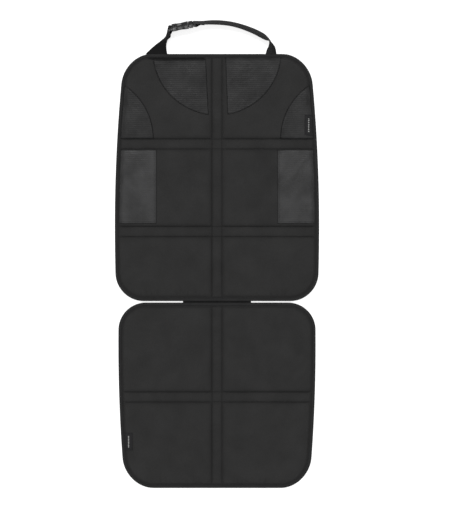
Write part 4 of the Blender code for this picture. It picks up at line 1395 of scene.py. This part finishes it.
def make_labels(context):
    """Woven labels caught in the side seams, bare but for a row of plain pale bars."""
    settings = context.scene.protector_cloth
    cloth = material("woven_label_ribbon", label_material, settings)
    pale = material("pale_label_yarn", pale_yarn_material)
    for pad, node, side in ((BACK, "label_back", 1), (SEAT, "label_seat", -1)):
        low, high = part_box(node)
        outer = high.x if side > 0 else low.x
        inner = low.x if side > 0 else high.x
        ends = sorted((inner, outer + side * LABEL_TUCK))
        loop = np.array([(ends[0], low.y), (ends[1], low.y), (ends[1], high.y), (ends[0], high.y)])
        ground = Surface("shoulder_mesh_right_cloth") if pad is BACK else Surface("seat_pad")

        def lifted(plan, inner=inner, low=low, high=high):
            free = 1 - ramp(np.abs(plan[:, 0] - inner), LABEL_FREE_WIDTH)
            curl = np.abs(plan[:, 1] - (low.y + high.y) / 2) / (high.y - low.y)
            return LABEL_LIFT * free**2 * (0.4 + 1.6 * curl)

        thing = sewn_patch(f"{node}_ribbon", loop, ground, LABEL_THICKNESS, LABEL_STEP, cloth, lifted)
        finish_piece(thing, "woven_label", node)
        surface = Surface(f"{node}_ribbon")
        middle = inner + (outer - inner) * 0.52
        bars = []
        for share in np.linspace(0.2, 0.8, LABEL_BARS):
            centre_y = low.y + (high.y - low.y) * share
            z, normal = surface.hit(middle, centre_y)
            turn = Vector((0, 0, 1)).rotation_difference(normal).to_matrix().to_4x4()
            bars.append(Matrix.Translation((middle, centre_y, z)) @ turn)
        shape, faces = bar_shape(*BAR_SIZE)
        strip = copies(f"{node}_bars", shape, faces, bars, pale)
        finish_piece(strip, "woven_label")


def bar_shape(width, length, height):
    """A low rounded bar of thread."""
    bpy.ops.object.select_all(action="DESELECT")
    bpy.ops.mesh.primitive_cube_add(size=1.0)
    bar = bpy.context.object
    bar.scale = (width, length, height * 2)
    bpy.ops.object.transform_apply(scale=True)
    apply_modifier(bar, "BEVEL", width=height * 0.8, segments=2)
    return pattern_from(bar)


# The buckle lies between the two bars, on its lower edge
BUCKLE_X = -111.4 * MM
BUCKLE_ABOVE_TOP = 57.8 * MM
BUCKLE_HEADING = math.radians(10.2)
BUCKLE_ROLL = math.radians(-65.0)
BUCKLE_HALF_WIDTH = 16.5 * MM
BUCKLE_THICKNESS = 10.0 * MM
FRAME_THICKNESS = 5.0 * MM
BAR_WIDTH = 3.2 * MM
BAR_SLOT = 5.3 * MM
BAR_SLOT_HALF_WIDTH = 13.2 * MM
SOCKET_LENGTH = 45.0 * MM
CAVITY_LENGTH = 33.0 * MM
CAVITY_HALF_WIDTH = 12.5 * MM
CAVITY_HEIGHT = 6.4 * MM
WINDOW_START = 17.0 * MM
WINDOW_LENGTH = 18.0 * MM
TONGUE_LENGTH = 15.7 * MM
TONGUE_THICKNESS = 9.0 * MM
CLEARANCE = 0.3 * MM
# A strap's folded end, and where on its way back it closes on the strap
TAIL_LENGTH = 25.0 * MM
TAIL_CLOSING_START = 4.0 * MM
TAIL_CLOSING_RUN = 12.0 * MM

# Details of the two mouldings, in millimetres
# How far each body reaches into its bar slot, and each bar is rounded out, up to the webbing
SLOT_FILL = 2.2
BAR_BULGE = 1.2
# Each bar's frame stands this far inside the body's sides and has these corners
FRAME_STEP = 0.6
FRAME_CORNER = 5.0
# The socket is narrowed and thinned by these shares at its waist, cut into slices this far apart
WAIST_ACROSS = 0.11
WAIST_UPRIGHT = 0.12
WAIST_REACH = 13.5
WAIST_STEP = 3.0
# Shares of the socket's width and thickness that are left at its mouth
MOUTH_ACROSS = 0.96
MOUTH_UPRIGHT = 0.94
# A sunken panel in each broad face of the socket, and a round bare boss that stands in it
PANEL_MARGIN = 1.9
PANEL_DEPTH = 0.8
BOSS_PLACE = (24.0, 0.0)
BOSS_RADIUS = 5.2
BOSS_HEIGHT = 1.6
BOSS_SINK = 1.4
BOSS_LEVEL = 3.9
COLLAR_LENGTH = 3.2
COLLAR_PROUD = 0.3
GRIP_RIBS = 4
GRIP_RIB_PITCH = 1.0
# Play between the tongue's prongs and the socket, and the prongs' thickness
PLAY = 0.3
PRONG_THICKNESS = 3.0
# Outer side of the prongs' heads and of the ridges on them
HEAD_OUTER = 15.6
RIDGE_OUTER = 15.85
GUIDE_LENGTH = 26.0
GUIDE_HALF_WIDTH = 2.5
# Teeth on the tongue's bar that hold the webbing
TEETH = 5
TOOTH_PITCH = 4.8
TOOTH_HALF_WIDTH = 0.7
# Half a cutter's height, well past the mouldings
CUTTER = 9.0


def buckle_frame():
    """+X from one webbing bar to the other, +Z out of the face seen from above."""
    height = BUCKLE_HALF_WIDTH * math.sin(-BUCKLE_ROLL) + BUCKLE_THICKNESS / 2 * math.cos(BUCKLE_ROLL)
    place = Matrix.Translation((BUCKLE_X, BACK.high + BUCKLE_ABOVE_TOP, height))
    return place @ Matrix.Rotation(BUCKLE_HEADING, 4, "Z") @ Matrix.Rotation(BUCKLE_ROLL, 4, "X")


# Points of a strap's route from one station to the next
ROUTE_STEPS = 12


def smooth_route(stations):
    """Reads a smooth curve through the stations."""
    route = []
    last = len(stations) - 1
    for index in range(last):
        before, here = stations[max(index - 1, 0)], stations[index]
        there, after = stations[index + 1], stations[min(index + 2, last)]
        for t in np.arange(ROUTE_STEPS) / ROUTE_STEPS:
            bend = 2 * before - 5 * here + 4 * there - after
            twist = 3 * (here - there) + after - before
            route.append(here + (there - before) * (t / 2) + bend * (t * t / 2) + twist * (t**3 / 2))
    route.append(stations[last])
    return route


def bar_loop(frame_matrix, bar_x, start, end, radius, width, steps=14):
    """Stations round a bar of the buckle."""
    across = np.array(frame_matrix.col[1].to_3d()) * (width / 2)
    stations = []
    for angle in np.linspace(start, end, steps + 1):
        centre = frame_matrix @ Vector((bar_x + radius * math.cos(angle), 0, radius * math.sin(angle)))
        stations.append(np.concatenate([np.array(centre) + across, np.array(centre) - across]))
    return stations


def folded_tail(route, spacing, closed_spacing, towards):
    """The end of a strap, folded back along its own route and laid against it."""
    tail = []
    travelled = 0.0
    back = route[::-1]
    for before, here in zip(back, back[1:]):
        heading = (here[:3] + here[3:] - before[:3] - before[3:]) / 2
        travelled += np.linalg.norm(heading)
        if travelled > TAIL_LENGTH:
            break
        normal = np.cross(heading, here[3:] - here[:3])
        normal /= np.linalg.norm(normal)
        if normal @ towards < 0:
            normal = -normal
        share = ramp(travelled - TAIL_CLOSING_START, TAIL_CLOSING_RUN)
        share = share * share * (3 - 2 * share)
        shift = normal * (spacing + (closed_spacing - spacing) * share)
        tail.append(here + np.concatenate([shift, shift]))
    return tail


# Columns of faces across the webbing and the tab
STRAP_COLUMNS = 22


def loop_radius(thickness):
    return math.hypot(BAR_WIDTH / 2, FRAME_THICKNESS / 2) + CLEARANCE + thickness / 2


# The long strap's route: x, y above the pad's top edge and height of its lower edge in
# millimetres, and its roll in degrees
STRAP_ROUTE = (
    (127.0, -8.0, SEAM_Z / MM, 0),
    (127.0, 1.5, SEAM_Z / MM, 0),
    (127.0, 11.1, 1.6, 38),
    (126.4, 16.5, 1.2, 57),
    (124.9, 21.8, 1.0, 74),
    (122.4, 27.0, 0.8, 91),
    (117.4, 32.8, 0.8, 113),
    (108.6, 40.2, 0.8, 127),
    (95.0, 48.0, 0.8, 128),
    (77.6, 55.8, 0.8, 127),
    (54.1, 64.1, 0.8, 125),
    (30.6, 69.7, 0.8, 124),
    (7.1, 72.3, 1.2, 124),
    (-14.0, 72.5, 2.6, 123),
    (-34.0, 71.3, 4.6, 119),
)
# The webbing bows out most at this station, over this many, and lightly all through the twist
CUP_STATION, CUP_SPREAD = 5.0, 2.1
CUP_HEIGHT, LIGHT_CUP_HEIGHT = 3.4 * MM, 0.5 * MM
FLAT_POINTS = 6


def make_long_strap(context):
    """Webbing that leaves the seam flat, turns past its edge and runs to the tongue's bar."""
    settings = context.scene.protector_strap
    cloth = material("ribbed_webbing", webbing_material, settings)
    last = len(STRAP_ROUTE) - 1
    stations = []
    for index, (x, y, low, roll) in enumerate(STRAP_ROUTE):
        before, after = STRAP_ROUTE[max(index - 1, 0)], STRAP_ROUTE[min(index + 1, last)]
        heading = np.array((after[0] - before[0], after[1] - before[1]))
        heading /= np.linalg.norm(heading)
        turn = math.radians(roll)
        lean = np.array((heading[1], -heading[0], 0)) * math.cos(turn)
        across = (lean + (0, 0, math.sin(turn))) * (settings.width / 2)
        centre = np.array((x * MM, BACK.high + y * MM, low * MM + across[2]))
        stations.append(np.concatenate([centre - across, centre + across]))
    matrix = buckle_frame()
    radius = loop_radius(settings.thickness)
    bar_x = SOCKET_LENGTH + CLEARANCE + TONGUE_LENGTH - BAR_WIDTH / 2
    start = math.radians(85)
    loop = bar_loop(matrix, bar_x, start, start + math.pi, radius, settings.width)
    main = [*np.linspace(stations[0], stations[1], 5)[:-1], *smooth_route(stations[1:] + loop[:1])]
    hidden = -np.array(matrix.col[2].to_3d())
    tail = folded_tail(main, 2 * radius, settings.thickness + CLEARANCE, hidden)
    band = np.array(main + loop[1:] + tail)
    station = np.arange(len(band)) / ROUTE_STEPS
    cups = CUP_HEIGHT * bell(station - CUP_STATION, CUP_SPREAD) + LIGHT_CUP_HEIGHT * (station < last)
    cups[:FLAT_POINTS] = 0
    cups[len(main):] = 0
    ribs = (3.0 * MM, 8.0 * MM)
    thing = ribbon(
        "headrest_webbing", band, settings.thickness, cloth, columns=STRAP_COLUMNS, ribs=ribs, cups=cups
    )
    finish_piece(thing, "webbing", "strap_long")


# Both edges of the tab: x, y above the pad's top edge and height, in millimetres
TAB_EDGES = (
    ((-166.5, -8.0, SEAM_Z / MM), (-117.0, -8.0, SEAM_Z / MM)),
    ((-166.5, 1.5, SEAM_Z / MM), (-117.0, 1.5, SEAM_Z / MM)),
    ((-156.4, 11.3, 1.8), (-118.4, 10.6, 7.5)),
    ((-144.0, 22.1, 1.4), (-118.4, 20.6, 14.5)),
    ((-131.8, 31.3, 1.8), (-115.6, 29.4, 21.0)),
    ((-120.4, 42.1, 3.4), (-108.9, 38.6, 25.8)),
)


def make_tab(context):
    """A tapered cloth tab that leaves the seam flat and turns on its edge towards the socket's bar."""
    settings = context.scene.protector_strap
    # The tab's darker colour is painted shade
    cloth = material("tab_cloth", dense_material, "tab_cloth", settings.tab_shaded_colour)
    from_top = np.array((0, BACK.high, 0, 0, BACK.high, 0))
    stations = [np.array((*left, *right)) * MM + from_top for left, right in TAB_EDGES]
    matrix = buckle_frame()
    radius = loop_radius(settings.thickness)
    start = math.radians(160)
    loop = bar_loop(matrix, BAR_WIDTH / 2, start, start - math.pi, radius, settings.width)
    main = [*np.linspace(stations[0], stations[1], 5)[:-1], *smooth_route(stations[1:] + loop[:1])]
    towards = np.array(matrix.col[0].to_3d())
    tail = folded_tail(main, 2 * radius, settings.thickness + CLEARANCE, towards)
    band = np.array(main + loop[1:] + tail)
    ribs = (3.5 * MM,)
    thing = ribbon(
        "headrest_tab", band, settings.thickness, cloth, columns=STRAP_COLUMNS, wave=0.35 * MM, ribs=ribs
    )
    finish_piece(thing, "plain_cloth", "strap_tab")


def block(name, low, high):
    """A block between two corners, in millimetres, modelled at its place."""
    low, high = Vector(low) * MM, Vector(high) * MM
    bpy.ops.object.select_all(action="DESELECT")
    bpy.ops.mesh.primitive_cube_add(size=1.0, location=(low + high) / 2)
    thing = bpy.context.object
    thing.name = name
    thing.scale = high - low
    bpy.ops.object.transform_apply(location=True, scale=True)
    return thing


def combine(thing, other, operation):
    """Joins another block to a piece, or cuts it away, and removes the block."""
    apply_modifier(thing, "BOOLEAN", object=other, operation=operation)
    bpy.data.objects.remove(other)


def slice_across(thing, *places):
    """Cuts new edges across a piece at these places along X, in millimetres."""
    select_only(thing)
    bpy.ops.object.mode_set(mode="EDIT")
    for place in places:
        bpy.ops.mesh.select_all(action="SELECT")
        bpy.ops.mesh.bisect(plane_co=(place * MM, 0, 0), plane_no=(1, 0, 0))
    bpy.ops.object.mode_set(mode="OBJECT")


def round_edges(thing, width, segments=2, angle=35):
    """Rounds the edges that turn by more than this angle, over a width in millimetres."""
    limits = {"limit_method": "ANGLE", "angle_limit": math.radians(angle)}
    apply_modifier(thing, "BEVEL", width=width * MM, segments=segments, **limits)


def choose(thing, kind, wanted):
    """Selects the points, edges or faces of a piece that are wanted, and goes into edit mode."""
    select_only(thing)
    kinds = ("VERT", "EDGE", "FACE")
    bpy.context.tool_settings.mesh_select_mode = [kind == each for each in kinds]
    parts = (thing.data.vertices, thing.data.edges, thing.data.polygons)
    for part in parts:
        part.foreach_set("select", [False] * len(part))
    for item in parts[kinds.index(kind)]:
        item.select = bool(wanted(item))
    bpy.ops.object.mode_set(mode="EDIT")


def shape_slice(thing, place, across, upright):
    """Scales the points at one place along X, sideways and in height."""
    choose(thing, "VERT", lambda vert: abs(vert.co.x - place * MM) < 0.01 * MM)
    bpy.ops.transform.resize(value=(1, across, upright), center_override=(place * MM, 0, 0))
    bpy.ops.object.mode_set(mode="OBJECT")


def round_corners(thing, radius, wanted):
    """Rounds the wanted upright edges with a large radius."""
    points = thing.data.vertices

    def upright(edge):
        here, there = (points[index].co for index in edge.vertices)
        return abs(here.x - there.x) + abs(here.y - there.y) < 0.01 * MM and wanted(here / MM)

    choose(thing, "EDGE", upright)
    bpy.ops.mesh.bevel(offset=radius * MM, segments=5, affect="EDGES")
    bpy.ops.object.mode_set(mode="OBJECT")


def recess_faces(thing, margin, depth):
    """Sinks a panel into each of the two broad faces."""
    for direction in (-1, 1):
        choose(thing, "FACE", lambda face: face.normal.z * direction > 0.99)
        bpy.ops.mesh.inset(thickness=margin * MM)
        bpy.ops.mesh.inset(thickness=0.5 * MM, depth=-depth * MM)
        bpy.ops.object.mode_set(mode="OBJECT")


def add_bosses(thing, half):
    """A round bare boss on each broad face."""
    for side in (-1, 1):
        place = Vector((*BOSS_PLACE, side * (half - BOSS_SINK))) * MM
        bpy.ops.object.select_all(action="DESELECT")
        bpy.ops.mesh.primitive_cylinder_add(
            vertices=32, radius=BOSS_RADIUS * MM, depth=BOSS_HEIGHT * MM, location=place
        )
        boss = bpy.context.object
        bpy.ops.object.transform_apply(location=True)
        round_edges(boss, 0.4)
        combine(thing, boss, "UNION")


def add_bar_frame(thing, name, start, end, bar_side):
    """The flat frame round a bar slot, with large corners at the bar."""
    wide, half = BUCKLE_HALF_WIDTH / MM - FRAME_STEP, FRAME_THICKNESS / MM / 2
    bar_frame = block(name, (start, -wide, -half), (end, wide, half))
    middle = (start + end) / 2
    round_corners(bar_frame, FRAME_CORNER, lambda point: (point.x - middle) * bar_side > 0)
    round_edges(bar_frame, 1.4, 3, 40)
    combine(thing, bar_frame, "UNION")


def cut_bar_slot(thing, start, end):
    """The slot that the webbing passes through."""
    half = BAR_SLOT_HALF_WIDTH / MM
    slot = block("bar_slot", (start, -half, -CUTTER), (end, half, CUTTER))
    round_edges(slot, 0.8)
    combine(thing, slot, "DIFFERENCE")


def make_socket(context):
    """The outer half: a hollow body open towards the tongue, with side windows and a webbing bar."""
    settings = context.scene.protector_strap
    wide = BUCKLE_HALF_WIDTH / MM
    body_start = (BAR_WIDTH + BAR_SLOT) / MM
    length = SOCKET_LENGTH / MM
    window_start, window_end = WINDOW_START / MM, (WINDOW_START + WINDOW_LENGTH) / MM
    half = BUCKLE_THICKNESS / MM / 2
    socket = block("socket_shell", (body_start - SLOT_FILL, -wide, -half), (length, wide, half))
    middle = (window_start + window_end) / 2
    places = [middle + WAIST_STEP * step for step in range(-4, 5)]
    slice_across(socket, *places)
    for place in places:
        waist = 0.5 + 0.5 * math.cos(math.pi * (place - middle) / WAIST_REACH)
        shape_slice(socket, place, 1 - WAIST_ACROSS * waist, 1 - WAIST_UPRIGHT * waist)
    shape_slice(socket, length, MOUTH_ACROSS, MOUTH_UPRIGHT)
    round_edges(socket, 1.6, 4, 50)
    recess_faces(socket, PANEL_MARGIN, PANEL_DEPTH)
    add_bosses(socket, half)
    proud = half + COLLAR_PROUD
    collar = block("collar", (length - COLLAR_LENGTH, -wide, -proud), (length, wide, proud))
    round_edges(collar, 1.2, 3)
    combine(socket, collar, "UNION")
    add_bar_frame(socket, "end_frame", -BAR_BULGE, body_start + 2, -1)
    cut_bar_slot(socket, BAR_WIDTH / MM, body_start - SLOT_FILL)
    inner_wide, inner = CAVITY_HALF_WIDTH / MM, CAVITY_HEIGHT / MM / 2
    start = length - CAVITY_LENGTH / MM
    cavity = block("cavity", (start, -inner_wide, -inner), (2 * length, inner_wide, inner))
    combine(socket, cavity, "DIFFERENCE")
    windows = block("windows", (window_start, -2 * wide, -inner), (window_end, 2 * wide, inner))
    round_edges(windows, 1.2, 3)
    combine(socket, windows, "DIFFERENCE")
    for number in range(GRIP_RIBS):
        x = window_end + 5.2 + GRIP_RIB_PITCH * number
        for side in (-1, 1):
            low, high = side * half - 0.7, side * half + 0.05
            rib = block("grip_rib", (x, -wide + 5, low), (x + 0.5, wide - 5, high))
            combine(socket, rib, "UNION")
    finish_moulding(socket, buckle_plastics(settings))
    finish_piece(socket, "buckle_plastic", "buckle_socket")


def finish_moulding(thing, plastics):
    """Cleans a moulded piece, rounds its sharp edges, gives it its finishes and sets it in place."""
    choose(thing, "VERT", lambda vert: True)
    bpy.ops.mesh.remove_doubles(threshold=0.01 * MM)
    bpy.ops.mesh.dissolve_degenerate(threshold=0.01 * MM)
    bpy.ops.object.mode_set(mode="OBJECT")
    round_edges(thing, 0.22, 2, 40)
    thing.data.materials.clear()
    for plastic in plastics:
        thing.data.materials.append(plastic)
    for face in thing.data.polygons:
        from_boss = (face.center.xy / MM - Vector(BOSS_PLACE)).length
        on_boss = from_boss < BOSS_RADIUS and abs(face.center.z) > BOSS_LEVEL * MM
        # Broad faces off the bosses take the darker plastic, their painted shade
        face.material_index = 1 if abs(face.normal.z) > 0.75 and not on_boss else 0
    select_only(thing)
    bpy.ops.object.shade_smooth_by_angle(angle=math.radians(38))
    thing.matrix_world = buckle_frame()
    bpy.ops.object.transform_apply(location=True, rotation=True, scale=True)


def add_prong(tongue, side, start, inner):
    """A sprung prong with its head in the socket's window, and three thumb ridges on the head."""
    outer = CAVITY_HALF_WIDTH / MM - PLAY
    tip_start = WINDOW_START / MM + PLAY
    tip_end = (WINDOW_START + WINDOW_LENGTH) / MM - PLAY
    low, high = sorted((side * (outer - PRONG_THICKNESS), side * outer))
    prong = block("prong", (tip_start, low, -inner), (start + 2, high, inner))
    combine(tongue, prong, "UNION")
    low, high = sorted((side * (outer - 1), side * HEAD_OUTER))
    head = block("prong_head", (tip_start, low, -inner), (tip_end, high, inner))
    slice_across(head, tip_start + 3, tip_start + 8, tip_end - 5)
    for place, drawn_in in ((tip_start, 1.1), (tip_start + 3, 0.2), (tip_end, 0.7)):
        choose(head, "VERT", lambda vert: abs(vert.co.x / MM - place) < 0.1 and vert.co.y * side > 14 * MM)
        bpy.ops.transform.translate(value=(0, -side * drawn_in * MM, 0))
        bpy.ops.object.mode_set(mode="OBJECT")
    round_edges(head, 0.5)
    combine(tongue, head, "UNION")
    for number in range(3):
        x = tip_start + 7.0 + 2.0 * number
        low, high = sorted((side * 15.0, side * RIDGE_OUTER))
        ridge = block("thumb_ridge", (x, low, -inner + 0.6), (x + 0.8, high, inner - 0.6))
        combine(tongue, ridge, "UNION")


def make_tongue(context):
    """The inner half: a webbing bar outside, and a guide and two sprung prongs inside the socket."""
    settings = context.scene.protector_strap
    wide = BUCKLE_HALF_WIDTH / MM - 0.4
    start = (SOCKET_LENGTH + CLEARANCE) / MM
    end = start + TONGUE_LENGTH / MM
    slot_end = end - BAR_WIDTH / MM
    slot_start = slot_end - BAR_SLOT / MM
    half = TONGUE_THICKNESS / MM / 2 - 0.1
    reach = slot_start + SLOT_FILL + 0.7
    tongue = block("tongue_shell", (start + 0.6, -wide, -half), (reach, wide, half))
    round_edges(tongue, 0.9, 3, 50)
    add_bar_frame(tongue, "bar_frame", slot_start - 2, end + BAR_BULGE, 1)
    cut_bar_slot(tongue, slot_start + SLOT_FILL, slot_end)
    inner = CAVITY_HEIGHT / MM / 2 - PLAY
    core_wide = CAVITY_HALF_WIDTH / MM - 0.8
    core = block("core", (start - 4, -core_wide, -inner + 0.1), (start + 3, core_wide, inner - 0.1))
    combine(tongue, core, "UNION")
    guide_start, guide_wide = start - GUIDE_LENGTH, GUIDE_HALF_WIDTH
    guide = block("guide", (guide_start, -guide_wide, -inner), (start + 2, guide_wide, inner))
    round_edges(guide, 0.5)
    combine(tongue, guide, "UNION")
    for side in (-1, 1):
        add_prong(tongue, side, start, inner)
    tooth_half = FRAME_THICKNESS / MM / 2 + 0.5
    for number in range(TEETH):
        y = TOOTH_PITCH * (number - (TEETH - 1) / 2)
        low, high = y - TOOTH_HALF_WIDTH, y + TOOTH_HALF_WIDTH
        tooth = block("bar_tooth", (slot_end + 0.5, low, -tooth_half), (end - 0.6, high, tooth_half))
        round_edges(tooth, 0.3)
        combine(tongue, tooth, "UNION")
    finish_moulding(tongue, buckle_plastics(settings))
    finish_piece(tongue, "buckle_plastic", "buckle_tongue")


FLOOR_SIZE = 60.0
FLOOR_DROP = 0.2 * MM
FLOOR_GLOW = 0.6
CAMERA_PLAN = (23.5 * MM, 327.2 * MM)
# Each lamp's place, size and share of the mean power, and the place on the pads that both face
LAMPS = (
    ("lamp_over_seat", (-0.2, -0.95, 2.35), (1.0, 0.7), 0.9),
    ("lamp_behind", (-0.05, 1.9, 2.2), (1.6, 0.9), 1.1),
)
LIT_PLACE = (0, 0.35, 0)


def make_floor():
    """A wide pale floor that keeps the pads' soft shadow and looks white from the camera."""
    bpy.ops.object.select_all(action="DESELECT")
    bpy.ops.mesh.primitive_plane_add(size=FLOOR_SIZE, location=(0, 0, -FLOOR_DROP))
    floor = bpy.context.object
    floor.name = "floor"
    shade = bpy.data.materials.new("studio_floor")
    shade.use_nodes = True
    tree = shade.node_tree
    surface = tree.nodes["Principled BSDF"]
    surface.inputs["Base Color"].default_value = (0.8, 0.8, 0.8, 1.0)
    surface.inputs["Roughness"].default_value = 1.0
    surface.inputs["Specular IOR Level"].default_value = 0.0
    surface.inputs["Emission Color"].default_value = (1.0, 1.0, 1.0, 1.0)
    strength = tree.nodes.new("ShaderNodeMath")
    strength.operation = "MULTIPLY"
    tree.links.new(seen_rays(tree), strength.inputs[0])
    strength.inputs[1].default_value = FLOOR_GLOW
    tree.links.new(strength.outputs[0], surface.inputs["Emission Strength"])
    floor.data.materials.append(shade)


def seen_rays(tree):
    """1 for what the camera sees directly, in gloss or through glass."""
    path = tree.nodes.new("ShaderNodeLightPath")
    total = path.outputs["Is Camera Ray"]
    for name in ("Is Glossy Ray", "Is Transmission Ray"):
        add = tree.nodes.new("ShaderNodeMath")
        add.operation = "ADD"
        add.use_clamp = True
        tree.links.new(total, add.inputs[0])
        tree.links.new(path.outputs[name], add.inputs[1])
        total = add.outputs[0]
    return total


def make_world(strength):
    """Even light from all round, and white where the camera looks past the floor."""
    world = bpy.data.worlds.new("studio_light")
    bpy.context.scene.world = world
    world.use_nodes = True
    tree = world.node_tree
    background = tree.nodes["Background"]
    background.inputs["Color"].default_value = (1.0, 1.0, 1.0, 1.0)
    path = tree.nodes.new("ShaderNodeLightPath")
    level = tree.nodes.new("ShaderNodeMapRange")
    level.inputs["To Min"].default_value = strength
    level.inputs["To Max"].default_value = 1.0
    tree.links.new(path.outputs["Is Camera Ray"], level.inputs["Value"])
    tree.links.new(level.outputs[0], background.inputs["Strength"])


def make_lamp(name, location, target, size, power):
    """A rectangular lamp that faces a target."""
    bpy.ops.object.select_all(action="DESELECT")
    bpy.ops.object.light_add(type="AREA", location=location)
    lamp = bpy.context.object
    lamp.name = name
    lamp.data.shape = "RECTANGLE"
    lamp.data.size, lamp.data.size_y = size
    lamp.data.energy = power
    lamp.rotation_euler = (Vector(target) - Vector(location)).to_track_quat("-Z", "Y").to_euler()
    return lamp


def make_camera(settings):
    """The camera looks straight down."""
    place = (*CAMERA_PLAN, settings.camera_height)
    bpy.ops.object.select_all(action="DESELECT")
    bpy.ops.object.camera_add(location=place, rotation=(0, 0, 0))
    camera = bpy.context.object
    camera.name = "camera"
    camera.data.lens = settings.lens
    camera.data.clip_end = 100.0
    bpy.context.scene.camera = camera


def make_stage(context):
    settings = context.scene.protector_stage
    context.scene.view_settings.view_transform = "Standard"
    make_floor()
    make_world(settings.sky)
    for name, location, size, share in LAMPS:
        make_lamp(name, location, LIT_PLACE, size, share * settings.lamp_power)
    make_camera(settings)


class PROTECTOR_OT_back_pad(bpy.types.Operator):
    """Quilts the back pad and lets it swell"""

    bl_idname = "protector.back_pad"
    bl_label = "Back pad"

    def execute(self, context):
        make_pad(context, BACK)
        return {"FINISHED"}


class PROTECTOR_OT_seat_pad(bpy.types.Operator):
    """Quilts the seat pad and lets it swell"""

    bl_idname = "protector.seat_pad"
    bl_label = "Seat pad"

    def execute(self, context):
        make_pad(context, SEAT)
        return {"FINISHED"}


class PROTECTOR_OT_open_cloth(bpy.types.Operator):
    """Lays the six pieces of mesh on the back pad"""

    bl_idname = "protector.open_cloth"
    bl_label = "Open cloth"

    def execute(self, context):
        make_open_cloth(context)
        return {"FINISHED"}


class PROTECTOR_OT_undersides(bpy.types.Operator):
    """Adds the coated undersides with their grip dots"""

    bl_idname = "protector.undersides"
    bl_label = "Undersides"

    def execute(self, context):
        for pad in (BACK, SEAT):
            make_underside(context, pad)
        return {"FINISHED"}


class PROTECTOR_OT_bindings(bpy.types.Operator):
    """Folds the tape round both pads"""

    bl_idname = "protector.bindings"
    bl_label = "Bindings"

    def execute(self, context):
        for pad in (BACK, SEAT):
            make_binding(context, pad)
        return {"FINISHED"}


class PROTECTOR_OT_stitching(bpy.types.Operator):
    """Sews the rows of stitches"""

    bl_idname = "protector.stitching"
    bl_label = "Stitching"

    def execute(self, context):
        for pad in (BACK, SEAT):
            make_stitching(context, pad)
        return {"FINISHED"}


class PROTECTOR_OT_bridge(bpy.types.Operator):
    """Adds the cloth strip across the crease"""

    bl_idname = "protector.bridge"
    bl_label = "Crease strip"

    def execute(self, context):
        make_bridge(context)
        return {"FINISHED"}


class PROTECTOR_OT_labels(bpy.types.Operator):
    """Adds the two woven side labels"""

    bl_idname = "protector.labels"
    bl_label = "Labels"

    def execute(self, context):
        make_labels(context)
        return {"FINISHED"}


class PROTECTOR_OT_strap(bpy.types.Operator):
    """Adds the headrest webbing and its cloth tab"""

    bl_idname = "protector.strap"
    bl_label = "Headrest strap"

    def execute(self, context):
        make_long_strap(context)
        make_tab(context)
        return {"FINISHED"}


class PROTECTOR_OT_buckle(bpy.types.Operator):
    """Moulds both halves of the side-release buckle"""

    bl_idname = "protector.buckle"
    bl_label = "Buckle"

    def execute(self, context):
        make_socket(context)
        make_tongue(context)
        return {"FINISHED"}


class PROTECTOR_OT_stage(bpy.types.Operator):
    """Sets up the floor, lamps and camera"""

    bl_idname = "protector.stage"
    bl_label = "Stage"

    def execute(self, context):
        make_stage(context)
        return {"FINISHED"}


OPERATORS = (
    PROTECTOR_OT_back_pad,
    PROTECTOR_OT_seat_pad,
    PROTECTOR_OT_open_cloth,
    PROTECTOR_OT_undersides,
    PROTECTOR_OT_bindings,
    PROTECTOR_OT_stitching,
    PROTECTOR_OT_bridge,
    PROTECTOR_OT_labels,
    PROTECTOR_OT_strap,
    PROTECTOR_OT_buckle,
    PROTECTOR_OT_stage,
)


class PROTECTOR_PT_panel(bpy.types.Panel):
    """Lists the steps and their sizes and colours"""

    bl_idname = "PROTECTOR_PT_panel"
    bl_label = "Car seat protector"
    bl_space_type = "VIEW_3D"
    bl_region_type = "UI"
    bl_category = "Protector"

    def draw(self, context):
        for group in ("protector_cloth", "protector_strap", "protector_stage"):
            settings = getattr(context.scene, group)
            box = self.layout.box()
            for name in settings.__annotations__:
                box.prop(settings, name)
        for operator in OPERATORS:
            self.layout.operator(operator.bl_idname)


GROUPS = {
    "protector_cloth": ClothSettings,
    "protector_strap": StrapSettings,
    "protector_stage": StageSettings,
}


def register():
    for group in GROUPS.values():
        bpy.utils.register_class(group)
    for name, group in GROUPS.items():
        setattr(bpy.types.Scene, name, bpy.props.PointerProperty(type=group))
    for operator in OPERATORS:
        bpy.utils.register_class(operator)
    bpy.utils.register_class(PROTECTOR_PT_panel)


def unregister():
    bpy.utils.unregister_class(PROTECTOR_PT_panel)
    for operator in reversed(OPERATORS):
        bpy.utils.unregister_class(operator)
    for name in GROUPS:
        delattr(bpy.types.Scene, name)
    for group in reversed(GROUPS.values()):
        bpy.utils.unregister_class(group)


def write_sizes():
    """Updates the view layer."""
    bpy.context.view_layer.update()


def main():
    register()
    for operator in OPERATORS:
        group, name = operator.bl_idname.split(".")
        getattr(getattr(bpy.ops, group), name)()
    write_sizes()


if __name__ == "__main__":
    main()
